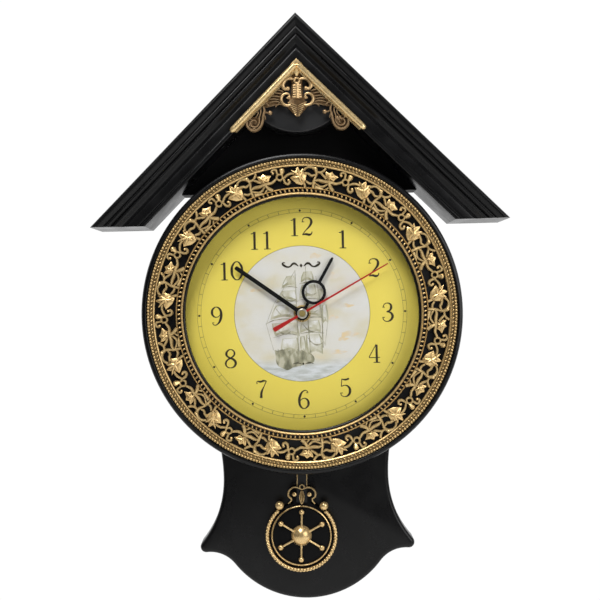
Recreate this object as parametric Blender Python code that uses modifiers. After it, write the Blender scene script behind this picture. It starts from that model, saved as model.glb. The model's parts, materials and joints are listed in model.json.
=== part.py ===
"""Pendulum wall clock: a round clock with a gilded vine ring, under a gabled roof and over a flared board.

Metres, +Z up, the front faces -Y and the wall is the plane y = 0. The origin is where the wall nail carries
the clock. Pieces are modelled face on, under the empty clock_face: local x is to the right, local y is up and
local z is the distance in front of the wall. Round pieces are profiles of (radius, depth) turned about the
dial's axis.
"""

from math import acos, atan2, cos, hypot, pi, radians, sin, sqrt

import bmesh
import bpy
from mathutils import Vector

# Overall, from the dial's centre
HANG_HEIGHT = 0.104
GAP = 0.0003
WALL = 0.0025
MERGE = 0.00001
ROUND_STEPS = 56

# Roof moulding and gable
ROOF_APEX = 0.2545
ROOF_FOOT = 0.077
ROOF_WIDTH = 0.0324
ROOF_DEPTH = 0.060
SLOPE = sqrt(2)
GABLE_FRONT = 0.024
GABLE_LEDGE = 0.1058
PLAQUE_FRONT = 0.050
PLAQUE_ARC_HEIGHT = 0.200
PLAQUE_ARC_RADIUS = 0.0456
V_BAR_OUTER = 0.0277
V_BAR_INNER = 0.0353
V_BAR_FOOT = 0.159

# Drum, bezel and dial
DRUM_RADIUS = 0.1217
DRUM_OPENING = 0.048
SHELF_RADIUS = 0.131
SHELF_BACK = 0.0323
SHELF_FRONT = 0.0348
BEZEL_RADIUS = 0.137
BEZEL_BACK = 0.0243
WINDOW_RADIUS = 0.0994
SEAT_RADIUS = 0.1036
DISC_RADIUS = 0.1032
DIAL_BACK = 0.0351
DIAL_FRONT = 0.0361
GLASS_BACK = 0.0437
GLASS_FRONT = 0.0455
PENDULUM_SLOT_HALF = 0.0175

# Lower board, a chain of arcs that touch each other
BOARD_FRONT = 0.022
BOARD_EDGE = 0.0038
WAIST_HALF = 0.0725
WAIST_HEIGHT = -0.143
FLARE_RADIUS = 0.090
SHOULDER_RADIUS = 0.157
HORN_HALF = 0.0942
HORN_RADIUS = 0.005
FILLET_RADIUS = 0.028
BELLY_RADIUS = 0.0812
BELLY_HEIGHT = -0.1693

# Movement
CASE_HALF = 0.028
CASE_TOP = 0.028
CASE_BOTTOM = -0.054
CASE_BACK = 0.0155
CASE_SPLIT = 0.0248
CASE_FRONT = 0.0335
CASE_WALL = 0.0012
STEM_RADIUS = 0.0040
STEM_BORE = 0.0028
STEM_FRONT = 0.0386
BATTERY_HEIGHT = 0.0195
BATTERY_DEPTH = 0.0236
BATTERY_RADIUS = 0.0071

# Going train: teeth, and the distances between axes. Each pair's module follows from them.
ROTOR_LEAVES = 6
INTERMEDIATE_TEETH = 36
INTERMEDIATE_LEAVES = 6
SECOND_TEETH = 30
SECOND_LEAVES = 6
THIRD_TEETH = 45
THIRD_LEAVES = 6
CENTRE_TEETH = 48
CANNON_LEAVES = 10
MOTION_TEETH = 30
MOTION_LEAVES = 8
HOUR_TEETH = 32
KNOB_LEAVES = 10
WHEEL_THICK = 0.0008
INTERMEDIATE_DISTANCE = 0.0072
INTERMEDIATE_ANGLE = radians(200)
ROTOR_DISTANCE = 0.0063
ROTOR_ANGLE = radians(190)
THIRD_DISTANCE = 0.00918
THIRD_ANGLE = 0.0
MOTION_DISTANCE = 0.0080
MOTION_ANGLE = radians(-90)
KNOB_DISTANCE = 0.0080
KNOB_ANGLE = radians(-60)

# Hands, turned clockwise from twelve
HOUR_ANGLE = radians(29.9)
MINUTE_ANGLE = radians(305.9)
SECOND_ANGLE = radians(61)
HAND_THICK = 0.0005
HOUR_HAND_BACK = 0.0389
MINUTE_HAND_BACK = 0.0400
SECOND_HAND_BACK = 0.0412

# Pendulum
PIVOT_HEIGHT = -0.031
REST_SWING = radians(1.8)
BOB_DROP = 0.1628
PEG_DROP = 0.032
MAGNET_DROP = 0.015
BOB_RADIUS = 0.0315

FINISHES = {
    "black_plastic": ((0.012, 0.012, 0.013), 0.38, 0.0),
    "gilt": ((0.60, 0.40, 0.16), 0.28, 1.0),
    "glass": ((0.95, 0.97, 0.96), 0.03, 0.0),
    "dial_card": ((0.80, 0.68, 0.12), 0.55, 0.0),
    "black_lacquer": ((0.010, 0.010, 0.011), 0.45, 0.0),
    "red_lacquer": ((0.45, 0.02, 0.015), 0.40, 0.0),
    "brass": ((0.62, 0.47, 0.20), 0.30, 1.0),
    "steel": ((0.55, 0.55, 0.56), 0.32, 1.0),
    "black_case": ((0.020, 0.020, 0.022), 0.50, 0.0),
    "white_nylon": ((0.82, 0.82, 0.78), 0.45, 0.0),
    "copper_wire": ((0.55, 0.22, 0.10), 0.35, 1.0),
    "green_board": ((0.03, 0.18, 0.07), 0.50, 0.0),
    "rubber": ((0.015, 0.015, 0.015), 0.85, 0.0),
    "ferrite": ((0.06, 0.06, 0.065), 0.45, 1.0),
    "battery_skin": ((0.08, 0.09, 0.12), 0.35, 0.2),
}


def clear_scene():
    for obj in list(bpy.data.objects):
        bpy.data.objects.remove(obj, do_unlink=True)


def new_collection(name):
    collection = bpy.data.collections.new(name)
    bpy.context.scene.collection.children.link(collection)
    return collection


def new_material(name, finish):
    colour, roughness, metallic = FINISHES[finish]
    material = bpy.data.materials.new(name + "_" + finish)
    material.use_nodes = True
    shader = material.node_tree.nodes["Principled BSDF"]
    shader.inputs["Base Color"].default_value = (*colour, 1.0)
    shader.inputs["Roughness"].default_value = roughness
    shader.inputs["Metallic"].default_value = metallic
    return material


def new_empty(name, location, rotation, parent=None):
    empty = bpy.data.objects.new(name, None)
    PARTS.objects.link(empty)
    empty.location = location
    empty.rotation_euler = rotation
    empty.parent = parent
    return empty


clear_scene()
PARTS = new_collection("pendulum_wall_clock")
CUTTERS = new_collection("cutters")
CLOCK_FACE = new_empty("clock_face", (0, 0, -HANG_HEIGHT), (pi / 2, 0, 0))
PENDULUM = new_empty("pendulum_pivot", (0, PIVOT_HEIGHT, 0), (0, 0, -REST_SWING), CLOCK_FACE)


def place(name, data, finish, location=(0, 0, 0), rotation=(0, 0, 0), parent=CLOCK_FACE):
    """Puts a piece under its parent. One with no finish is a cutter, which shapes others and isn't built."""
    obj = bpy.data.objects.new(name, data)
    obj.location = location
    obj.rotation_euler = rotation
    obj.parent = parent
    if finish:
        PARTS.objects.link(obj)
        data.materials.append(new_material(name, finish))
    else:
        CUTTERS.objects.link(obj)
        obj.hide_render = True
        obj.display_type = "WIRE"
    return obj


def turned(name, profile, finish, closed=False, steps=ROUND_STEPS, **where):
    """A round piece: a profile of (radius, depth), front to back down its outside, turned about local z."""
    edges = [(k, k + 1) for k in range(len(profile) - 1)]
    if closed:
        edges.append((len(profile) - 1, 0))
    mesh = bpy.data.meshes.new(name)
    mesh.from_pydata([(radius, 0, depth) for radius, depth in profile], edges, [])
    obj = place(name, mesh, finish, **where)
    turn = obj.modifiers.new("turn", "SCREW")
    turn.steps = steps
    turn.render_steps = steps
    turn.use_merge_vertices = True
    turn.merge_threshold = MERGE
    turn.use_smooth_shade = True
    return obj


def disc(name, radius, back, front, finish, **options):
    return turned(name, [(0, front), (radius, front), (radius, back), (0, back)], finish, **options)


def washer(name, inner, outer, back, front, finish, **options):
    profile = [(outer, front), (outer, back), (inner, back), (inner, front)]
    return turned(name, profile, finish, closed=True, **options)


def plate(name, outlines, back, front, finish, location=(0, 0), **where):
    """A flat piece between two depths. The first outline is its edge and the others are holes in it."""
    curve = bpy.data.curves.new(name, "CURVE")
    curve.dimensions = "2D"
    curve.fill_mode = "BOTH"
    curve.extrude = (front - back) / 2
    for outline in outlines:
        spline = curve.splines.new("POLY")
        spline.points.add(len(outline) - 1)
        spline.use_cyclic_u = True
        for point, (x, y) in zip(spline.points, outline):
            point.co = (x, y, 0, 1)
    return place(name, curve, finish, (*location, (front + back) / 2), **where)


def as_mesh(curve_object):
    """The same piece as a welded mesh, which can be cut and joined."""
    graph = bpy.context.evaluated_depsgraph_get()
    mesh = bpy.data.meshes.new_from_object(curve_object.evaluated_get(graph))
    shape = bmesh.new()
    shape.from_mesh(mesh)
    bmesh.ops.remove_doubles(shape, verts=shape.verts, dist=MERGE)
    bmesh.ops.dissolve_degenerate(shape, edges=shape.edges, dist=MERGE)
    shape.to_mesh(mesh)
    shape.free()
    name = curve_object.name
    solid = bpy.data.objects.new(name + "_solid", mesh)
    curve_object.users_collection[0].objects.link(solid)
    solid.parent = curve_object.parent
    solid.matrix_parent_inverse = curve_object.matrix_parent_inverse
    solid.matrix_basis = curve_object.matrix_basis
    solid.hide_render = curve_object.hide_render
    solid.display_type = curve_object.display_type
    bpy.data.objects.remove(curve_object, do_unlink=True)
    solid.name = name
    return solid


def block(name, low, high, finish, **where):
    """A box between two corners, in face-on coordinates."""
    shape = bmesh.new()
    bmesh.ops.create_cube(shape, size=1.0)
    bmesh.ops.scale(shape, vec=Vector(high) - Vector(low), verts=shape.verts)
    bmesh.ops.translate(shape, vec=(Vector(high) + Vector(low)) / 2, verts=shape.verts)
    mesh = bpy.data.meshes.new(name)
    shape.to_mesh(mesh)
    shape.free()
    return place(name, mesh, finish, **where)


def combine(obj, tool, operation):
    change = obj.modifiers.new(operation.lower() + "_" + tool.name, "BOOLEAN")
    change.operation = operation
    change.object = tool
    change.solver = "EXACT"


def cut(obj, *tools):
    for tool in tools:
        combine(obj, tool, "DIFFERENCE")


def join(obj, *tools):
    for tool in tools:
        combine(obj, tool, "UNION")


def polar(radius, angle, centre=(0, 0)):
    return centre[0] + radius * cos(angle), centre[1] + radius * sin(angle)


def arc(centre, radius, start, end, steps):
    """Points along an arc, its two ends included."""
    return [polar(radius, start + (end - start) * k / steps, centre) for k in range(steps + 1)]


def circle(radius, steps, centre=(0, 0)):
    return arc(centre, radius, 0, 2 * pi, steps)[:-1]


def rounded_box(left, right, low, high, radius):
    """A rectangle with rounded corners, anticlockwise."""
    points = arc((right - radius, high - radius), radius, 0, pi / 2, 2)
    points += arc((left + radius, high - radius), radius, pi / 2, pi, 2)
    points += arc((left + radius, low + radius), radius, pi, 3 * pi / 2, 2)
    points += arc((right - radius, low + radius), radius, 3 * pi / 2, 2 * pi, 2)
    return points


def mirrored(half):
    """A whole outline from its right half, which runs from the top centre to the bottom centre."""
    return half + [(-x, y) for x, y in reversed(half) if abs(x) > MERGE]


# Roof, gable and lower board


def chevron(name, section, foot, finish):
    """A section of (distance in from the upper edge, depth), run down both slopes to a level foot."""
    shape = bmesh.new()
    corners = [shape.verts.new((0, ROOF_APEX - inset * SLOPE, depth)) for inset, depth in section]
    face = shape.faces.new(corners)
    swept = bmesh.ops.extrude_face_region(shape, geom=[face])["geom"]
    for vert in [item for item in swept if isinstance(item, bmesh.types.BMVert)]:
        vert.co = (vert.co.y - foot, foot, vert.co.z)
    mitre = [face for face in shape.faces if all(vert.co.x < MERGE for vert in face.verts)]
    bmesh.ops.delete(shape, geom=mitre, context="FACES_ONLY")
    bmesh.ops.recalc_face_normals(shape, faces=shape.faces)
    mesh = bpy.data.meshes.new(name)
    shape.to_mesh(mesh)
    shape.free()
    obj = place(name, mesh, finish)
    mirror = obj.modifiers.new("mirror", "MIRROR")
    mirror.merge_threshold = MERGE
    return obj


def roof_section():
    """The moulding's front steps down in reeds from its outer nose to its inner edge."""
    steps = [
        (0.0, 0.0565),
        (0.0012, 0.0590),
        (0.0038, ROOF_DEPTH),
        (0.0080, 0.0582),
        (0.0097, 0.0590),
        (0.0125, 0.0570),
        (0.0148, 0.0578),
        (0.0175, 0.0552),
        (0.0205, 0.0548),
        (0.0280, 0.0554),
        (0.0315, 0.0550),
        (ROOF_WIDTH, 0.0540),
    ]
    return [(ROOF_WIDTH, 0)] + [(0, 0)] + steps


def slope_screw_seat(side):
    """The middle of a roof slope's inner face, and the direction out through the moulding."""
    inner_apex = ROOF_APEX - ROOF_WIDTH * SLOPE
    across = 0.050
    return (side * across, inner_apex - across, GABLE_FRONT / 2), atan2(1, side)


def make_roof():
    roof = chevron("roof_cornice", roof_section(), ROOF_FOOT, "black_plastic")
    hollow = [(WALL, -WALL), (WALL, 0.052), (ROOF_WIDTH - WALL, 0.0515), (ROOF_WIDTH - WALL, -WALL)]
    cut(roof, chevron("roof_hollow", hollow, ROOF_FOOT + WALL, None))
    cut(roof, *SLOPE_HOLES)


def gable_outline(inset):
    """The triangle inside the roof, cut level at its foot and hollowed by the drum."""
    apex = ROOF_APEX - (ROOF_WIDTH + GAP + inset) * SLOPE
    ledge = GABLE_LEDGE + inset
    radius = DRUM_RADIUS + 2 * GAP + inset
    end = acos(ledge / radius)
    return mirrored([(0, apex), (apex - ledge, ledge)] + arc((0, 0), radius, pi / 2 - end, pi / 2, 5))


def make_gable():
    gable = as_mesh(plate("gable_board", [gable_outline(0)], 0, GABLE_FRONT, "black_plastic"))
    cut(gable, as_mesh(plate("gable_hollow", [gable_outline(WALL)], -WALL, GABLE_FRONT - WALL, None)))
    cut(gable, *SLOPE_HOLES, *GABLE_HOLES)


def plaque_outline(inset):
    """A heart-like shield: the gable's apex over a round belly."""
    apex = ROOF_APEX - (ROOF_WIDTH + GAP + inset) * SLOPE
    radius = PLAQUE_ARC_RADIUS - inset
    rise = apex - PLAQUE_ARC_HEIGHT
    across = (rise + sqrt(2 * radius**2 - rise**2)) / 2
    start = atan2(rise - across, across)
    return mirrored([(0, apex)] + arc((0, PLAQUE_ARC_HEIGHT), radius, start, -pi / 2, 8))


def make_plaque():
    back = GABLE_FRONT + GAP
    plaque = as_mesh(plate("gable_plaque", [plaque_outline(0)], back, PLAQUE_FRONT, "black_plastic"))
    cut(plaque, as_mesh(plate("plaque_hollow", [plaque_outline(WALL)], 0, PLAQUE_FRONT - WALL, None)))


def make_ornament():
    """The gilded gable casting: a V-shaped bar over the moulding's inner edge, with scrollwork inside it."""
    bar_section = [
        (V_BAR_OUTER, 0.0558),
        (V_BAR_OUTER, 0.0585),
        (0.0315, 0.0598),
        (V_BAR_INNER, 0.0585),
        (V_BAR_INNER, PLAQUE_FRONT + GAP),
        (ROOF_WIDTH + GAP, PLAQUE_FRONT + GAP),
        (ROOF_WIDTH + GAP, 0.0558),
    ]
    ornament = chevron("gable_ornament", bar_section, V_BAR_FOOT, "gilt")
    scrolls = [(0, 0.2062), (0.0380, 0.1680), (0.0450, 0.1625), (0.0360, 0.1585), (0.0260, 0.1640)]
    outline = mirrored(scrolls + [(0.0160, 0.1735), (0, 0.1672)])
    join(ornament, as_mesh(plate("scroll_plate", [outline], PLAQUE_FRONT + GAP, 0.0545, None)))


def centre_between(first, first_radius, second, second_radius):
    """The lower centre of a circle that lies first_radius from one point and second_radius from another."""
    across = second[0] - first[0]
    rise = second[1] - first[1]
    distance = hypot(across, rise)
    along = (distance**2 + first_radius**2 - second_radius**2) / (2 * distance)
    turn = acos(along / first_radius)
    return polar(first_radius, atan2(rise, across) - turn, first)


def heading(start, end):
    return atan2(end[1] - start[1], end[0] - start[0])


def board_outline(inset):
    """Shoulder, waist, flare, horn, fillet and belly, each touching the next; an inset changes the radii."""
    drum = DRUM_RADIUS + 2 * GAP + inset
    flare = (WAIST_HALF + FLARE_RADIUS, WAIST_HEIGHT)
    shoulder = (WAIST_HALF + SHOULDER_RADIUS, WAIST_HEIGHT)
    belly = (0, BELLY_HEIGHT)
    horn_x = HORN_HALF - HORN_RADIUS
    horn = (horn_x, WAIST_HEIGHT - sqrt((FLARE_RADIUS + HORN_RADIUS) ** 2 - (flare[0] - horn_x) ** 2))
    fillet = centre_between(belly, BELLY_RADIUS + FILLET_RADIUS, horn, HORN_RADIUS + FILLET_RADIUS)
    shoulder_rise = 0.050
    corner_angle = pi - shoulder_rise / (SHOULDER_RADIUS + inset)
    corner = polar(SHOULDER_RADIUS + inset, corner_angle, shoulder)
    top = heading((0, 0), (corner[0], -sqrt(drum**2 - corner[0] ** 2)))
    points = arc((0, 0), drum, -pi / 2, top, 7)
    points += arc(shoulder, SHOULDER_RADIUS + inset, corner_angle, pi, 3)[1:]
    flare_end = heading(flare, horn) + 2 * pi
    points += arc(flare, FLARE_RADIUS + inset, pi, flare_end, 7)[1:]
    points += arc(horn, HORN_RADIUS - inset, flare_end - pi, heading(horn, fillet), 5)
    belly_end = heading(belly, fillet)
    points += arc(fillet, FILLET_RADIUS + inset, heading(horn, fillet) + pi, belly_end + pi, 4)
    points += arc(belly, BELLY_RADIUS - inset, belly_end, -pi / 2, 8)[1:]
    return mirrored(points)


def round_front_edge(obj, width):
    """Rounds the rim of a plate's front face."""
    shape = bmesh.new()
    shape.from_mesh(obj.data)
    bmesh.ops.dissolve_limit(shape, angle_limit=radians(1), verts=shape.verts, edges=shape.edges)
    front = max(vert.co.z for vert in shape.verts)
    rim = [edge for edge in shape.edges if all(abs(vert.co.z - front) < MERGE for vert in edge.verts)]
    bmesh.ops.bevel(shape, geom=rim, offset=width, segments=2, profile=0.5, affect="EDGES", material=-1)
    shape.to_mesh(obj.data)
    shape.free()


def make_lower_board():
    board = as_mesh(plate("lower_board", [board_outline(0)], 0, BOARD_FRONT, "black_plastic"))
    round_front_edge(board, BOARD_EDGE)
    cut(board, as_mesh(plate("board_hollow", [board_outline(WALL)], -WALL, BOARD_FRONT - WALL, None)))
    cut(board, *BOARD_HOLES)


# Drum, bezel, glass and dial


def make_drum():
    profile = [
        (SHELF_RADIUS, SHELF_FRONT),
        (SHELF_RADIUS, SHELF_BACK),
        (DRUM_RADIUS, SHELF_BACK),
        (DRUM_RADIUS, 0),
        (DRUM_OPENING, 0),
        (DRUM_OPENING, WALL),
        (DRUM_RADIUS - WALL, WALL),
        (DRUM_RADIUS - WALL, SHELF_BACK),
        (0.098, SHELF_BACK),
        (0.098, SHELF_FRONT),
    ]
    drum = turned("round_case", profile, "black_plastic", closed=True)
    slot_low = (-PENDULUM_SLOT_HALF, -0.126, 0.0235)
    slot_high = (PENDULUM_SLOT_HALF, -0.112, 0.0315)
    cut(drum, block("pendulum_slot", slot_low, slot_high, None))
    keyhole = arc((0, HANG_HEIGHT), 0.0035, 0, pi, 4) + arc((0, HANG_HEIGHT - 0.009), 0.006, pi, 2 * pi, 6)
    cut(drum, as_mesh(plate("nail_hole", [keyhole], -WALL, 2 * WALL, None)))
    cut(drum, *GABLE_HOLES, *BOARD_HOLES, *BEZEL_HOLES, *HANGER_HOLES)


def make_hanger():
    outline = rounded_box(-0.016, 0.016, HANG_HEIGHT - 0.018, HANG_HEIGHT + 0.008, 0.003)
    slot = arc((0, HANG_HEIGHT), 0.0022, 0, pi, 4)
    slot += arc((0, HANG_HEIGHT - 0.009), 0.0045, radians(119), radians(421), 8)
    back = WALL + GAP
    hanger = as_mesh(plate("hanger_plate", [outline, slot], back, back + 0.0012, "steel"))
    cut(hanger, *HANGER_HOLES)


def make_bezel():
    profile = [
        (0.1336, 0.0515),
        (0.1358, 0.0507),
        (BEZEL_RADIUS, 0.0480),
        (BEZEL_RADIUS, BEZEL_BACK),
        (0.1340, BEZEL_BACK),
        (0.1340, 0.0459),
        (0.1060, 0.0459),
        (0.1060, SHELF_FRONT + GAP),
        (SEAT_RADIUS, SHELF_FRONT + GAP),
        (SEAT_RADIUS, GLASS_FRONT + GAP),
        (WINDOW_RADIUS, GLASS_FRONT + GAP),
        (WINDOW_RADIUS, 0.0500),
        (0.1010, 0.0508),
        (0.1012, 0.0483),
        (0.1323, 0.0483),
        (0.1325, 0.0509),
    ]
    bezel = turned("bezel", profile, "black_plastic", closed=True)
    for number, centre in enumerate(BEZEL_SCREW_PLACES):
        where = {"location": (*centre, 0), "steps": 10}
        join(bezel, disc(f"bezel_boss_{number}", 0.0040, SHELF_FRONT + GAP, 0.0470, None, **where))
    cut(bezel, *BEZEL_HOLES)
    notch_low = (-PENDULUM_SLOT_HALF, -0.140, 0.020)
    notch_high = (PENDULUM_SLOT_HALF, -0.130, 0.032)
    cut(bezel, block("pendulum_notch", notch_low, notch_high, None))


def make_front_rings():
    ring = [
        (0.1305, 0.0530),
        (0.1320, 0.0518),
        (0.1320, 0.0486),
        (0.1015, 0.0486),
        (0.1015, 0.0515),
        (0.1030, 0.0523),
        (0.1073, 0.0515),
        (0.1073, 0.0502),
        (0.1257, 0.0502),
        (0.1257, 0.0523),
    ]
    turned("filigree_ring", ring, "gilt", closed=True)
    disc("glass_lens", DISC_RADIUS, GLASS_BACK, GLASS_FRONT, "glass")
    washer("dial_spacer", 0.1008, DISC_RADIUS, DIAL_FRONT + GAP, GLASS_BACK - GAP, "black_plastic")
    washer("dial", STEM_RADIUS + GAP, DISC_RADIUS, DIAL_BACK, DIAL_FRONT, "dial_card")
    washer("hand_nut", STEM_RADIUS + GAP, 0.00725, DIAL_FRONT + GAP, 0.0380, "brass", steps=16)
    washer("rubber_washer", STEM_RADIUS + GAP, 0.0090, CASE_FRONT + GAP, DIAL_BACK - GAP, "rubber", steps=16)


# Movement: case, motor, battery and wheels


def make_movement_case():
    outline = rounded_box(-CASE_HALF, CASE_HALF, CASE_BOTTOM, CASE_TOP, 0.003)
    room = rounded_box(
        CASE_WALL - CASE_HALF, CASE_HALF - CASE_WALL, CASE_BOTTOM + CASE_WALL, CASE_TOP - CASE_WALL, 0.002
    )
    front = as_mesh(plate("movement_front_shell", [outline], CASE_SPLIT + GAP, CASE_FRONT, "black_case"))
    cut(front, as_mesh(plate("front_room", [room], CASE_SPLIT - WALL, CASE_FRONT - CASE_WALL, None)))
    join(front, disc("stem", STEM_RADIUS, CASE_FRONT - CASE_WALL / 2, STEM_FRONT, None, steps=16))
    cut(front, disc("stem_bore", STEM_BORE, CASE_SPLIT, STEM_FRONT + WALL, None, steps=16))
    cut(front, block("arm_slot", (-0.007, -0.056, 0.0200), (0.007, -0.050, 0.0295), None))
    rear = as_mesh(plate("movement_rear_shell", [outline], CASE_BACK, CASE_SPLIT, "black_case"))
    cut(rear, as_mesh(plate("rear_room", [room], CASE_BACK + CASE_WALL, CASE_SPLIT + WALL, None)))
    cut(rear, block("battery_door", (-0.026, 0.0119, 0.010), (0.026, 0.0265, 0.020), None))
    knob_hole = disc("knob_hole", 0.0014, 0.010, 0.020, None, location=(*KNOB_PLACE, 0), steps=12)
    cut(rear, knob_hole)


def make_motor():
    """The step motor's stator wraps the rotor and both ends of its coil."""
    stator = [
        (-0.0260, -0.0150),
        (-0.0086, -0.0150),
        (-0.0086, 0.0106),
        (-0.0260, 0.0106),
        (-0.0260, 0.0068),
        (-0.0178, 0.0068),
        (-0.0178, -0.0112),
        (-0.0260, -0.0112),
    ]
    plate("stator", [stator, circle(0.0034, 14, ROTOR_PLACE)], 0.0202, 0.0210, "steel")
    coil_end = (-0.0222, 0.0065, 0.0210)
    along = {"location": coil_end, "rotation": (pi / 2, 0, 0), "steps": 12}
    disc("motor_coil", 0.0032, 0, 0.0172, "copper_wire", **along)
    plate("circuit_board", [rounded_box(-0.0260, 0, -0.0270, -0.0165, 0.0008)], 0.0185, 0.0195, "green_board")
    along = {"location": (-0.0180, -0.0215, 0.0208), "rotation": (0, pi / 2, 0), "steps": 10}
    disc("quartz_crystal", 0.0010, 0, 0.0060, "steel", **along)
    coil_place = (0, PIVOT_HEIGHT - MAGNET_DROP, 0)
    washer("drive_coil", 0.0020, 0.0065, 0.0170, 0.0244, "copper_wire", location=coil_place, steps=16)
    disc("pendulum_pin", 0.0010, 0.0170, 0.0320, "steel", location=(0, PIVOT_HEIGHT, 0), steps=12)


def make_battery():
    """A round cell lying across the case, between its two contacts."""
    sideways = (0, pi / 2, 0)
    cell = [(0, 0.0254), (0.0027, 0.0254), (0.0027, 0.0244), (BATTERY_RADIUS, 0.0244)]
    cell += [(BATTERY_RADIUS, -0.0248), (0, -0.0248)]
    middle = (0, BATTERY_HEIGHT, BATTERY_DEPTH)
    turned("battery", cell, "battery_skin", location=middle, rotation=sideways, steps=20)
    contact = {"location": middle, "rotation": sideways, "steps": 12}
    disc("battery_contact_plus", 0.0045, 0.0257, 0.0264, "steel", **contact)
    spring = [(0, -0.0251), (0.0022, -0.0251), (0.0042, -0.0264), (0, -0.0264)]
    turned("battery_contact_minus", spring, "steel", **contact)


def star(teeth, module, phase):
    """A gear's outline: one pointed tooth and one valley a pitch, narrow enough to turn freely in mesh."""
    pitch_radius = module * teeth / 2
    points = []
    for tooth in range(teeth):
        angle = phase + 2 * pi * tooth / teeth
        points.append(polar(pitch_radius + 0.55 * module, angle))
        points.append(polar(pitch_radius - 1.15 * module, angle + pi / teeth))
    return points


def meshed_phase(driver_teeth, driver_phase, driven_teeth, direction):
    """The angle of a driven gear's tooth, so that its valley meets the driver's tooth between the centres."""
    return direction + pi + pi / driven_teeth - (driver_phase - direction) * driver_teeth / driven_teeth


def module_for(distance, *teeth):
    return 2 * distance / sum(teeth)


def wheel_layer(name, teeth, module, phase, back, centre, finish=None):
    return plate(name, [star(teeth, module, phase)], back, back + WHEEL_THICK, finish, location=centre)


def arbor_with(name, centre, radius, back, front, finish, *layers):
    """An arbor with its wheel and pinion moulded on. A layer is (teeth, module, phase, back)."""
    arbor = disc(name, radius, back, front, finish, location=(*centre, 0), steps=10)
    for number, layer in enumerate(layers):
        join(arbor, as_mesh(wheel_layer(f"{name}_layer_{number}", *layer, centre)))
    return arbor


def make_going_train():
    """Rotor, intermediate wheel, second wheel, third wheel and centre wheel."""
    rotor_module = module_for(ROTOR_DISTANCE, INTERMEDIATE_TEETH, ROTOR_LEAVES)
    second_module = module_for(INTERMEDIATE_DISTANCE, SECOND_TEETH, INTERMEDIATE_LEAVES)
    third_module = module_for(THIRD_DISTANCE, THIRD_TEETH, SECOND_LEAVES)
    centre_module = module_for(THIRD_DISTANCE, CENTRE_TEETH, THIRD_LEAVES)
    leaf_phase = meshed_phase(SECOND_TEETH, 0, INTERMEDIATE_LEAVES, INTERMEDIATE_ANGLE)
    rotor_phase = meshed_phase(INTERMEDIATE_TEETH, 0, ROTOR_LEAVES, ROTOR_ANGLE)
    third_phase = meshed_phase(SECOND_LEAVES, 0, THIRD_TEETH, THIRD_ANGLE)
    third_leaf_phase = meshed_phase(CENTRE_TEETH, 0, THIRD_LEAVES, THIRD_ANGLE)

    rotor_layer = (ROTOR_LEAVES, rotor_module, rotor_phase, 0.0227)
    rotor = arbor_with("rotor", ROTOR_PLACE, 0.0005, 0.0172, 0.0270, "ferrite", rotor_layer)
    join(rotor, disc("rotor_magnet", 0.0030, 0.0194, 0.0219, None, location=(*ROTOR_PLACE, 0), steps=16))

    wheel = (INTERMEDIATE_TEETH, rotor_module, 0, 0.0227)
    leaves = (INTERMEDIATE_LEAVES, second_module, leaf_phase, 0.0244)
    arbor_with("intermediate_wheel", INTERMEDIATE_PLACE, 0.0005, 0.0172, 0.0275, "white_nylon", wheel, leaves)

    wheel = (SECOND_TEETH, second_module, 0, 0.0244)
    leaves = (SECOND_LEAVES, third_module, 0, 0.0261)
    arbor_with("second_wheel", (0, 0), 0.0006, 0.0172, 0.0422, "white_nylon", wheel, leaves)

    wheel = (THIRD_TEETH, third_module, third_phase, 0.0261)
    leaves = (THIRD_LEAVES, centre_module, third_leaf_phase, 0.0280)
    arbor_with("third_wheel", THIRD_PLACE, 0.0005, 0.0220, 0.0320, "white_nylon", wheel, leaves)

    centre = [star(CENTRE_TEETH, centre_module, 0), circle(0.0009, 10)]
    plate("centre_wheel", centre, 0.0280, 0.0280 + WHEEL_THICK, "brass")


def make_motion_work():
    """Cannon pinion, motion wheel, hour wheel and the setting knob's pinion."""
    near = module_for(MOTION_DISTANCE, CANNON_LEAVES, MOTION_TEETH)
    far = module_for(MOTION_DISTANCE, MOTION_LEAVES, HOUR_TEETH)
    motion_phase = meshed_phase(CANNON_LEAVES, 0, MOTION_TEETH, MOTION_ANGLE)
    leaf_phase = meshed_phase(HOUR_TEETH, 0, MOTION_LEAVES, MOTION_ANGLE)
    knob_phase = meshed_phase(MOTION_TEETH, motion_phase, KNOB_LEAVES, KNOB_ANGLE)

    leaves = (CANNON_LEAVES, near, 0, 0.0295)
    cannon = arbor_with("cannon_pinion", (0, 0), 0.0014, 0.0292, 0.0409, "brass", leaves)
    cut(cannon, disc("cannon_bore", 0.0009, 0.0280, 0.0420, None, steps=10))

    wheel = (MOTION_TEETH, near, motion_phase, 0.0295)
    leaves = (MOTION_LEAVES, far, leaf_phase, 0.0311)
    arbor_with("motion_wheel", MOTION_PLACE, 0.0006, 0.0291, 0.0321, "white_nylon", wheel, leaves)

    wheel = (HOUR_TEETH, far, 0, 0.0311)
    hour = arbor_with("hour_wheel", (0, 0), 0.0025, 0.0310, 0.0397, "white_nylon", wheel)
    cut(hour, disc("hour_bore", 0.0017, 0.0300, 0.0400, None, steps=12))

    leaves = (KNOB_LEAVES, near, knob_phase, 0.0295)
    knob = arbor_with("setting_knob", KNOB_PLACE, 0.0010, 0.0135, 0.0308, "black_case", leaves)
    join(knob, disc("knob_head", 0.0045, 0.0128, 0.0150, None, location=(*KNOB_PLACE, 0), steps=20))


# Hands


def hand(name, outlines, back, finish, angle):
    return plate(name, outlines, back, back + HAND_THICK, finish, rotation=(0, 0, -angle))


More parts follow.
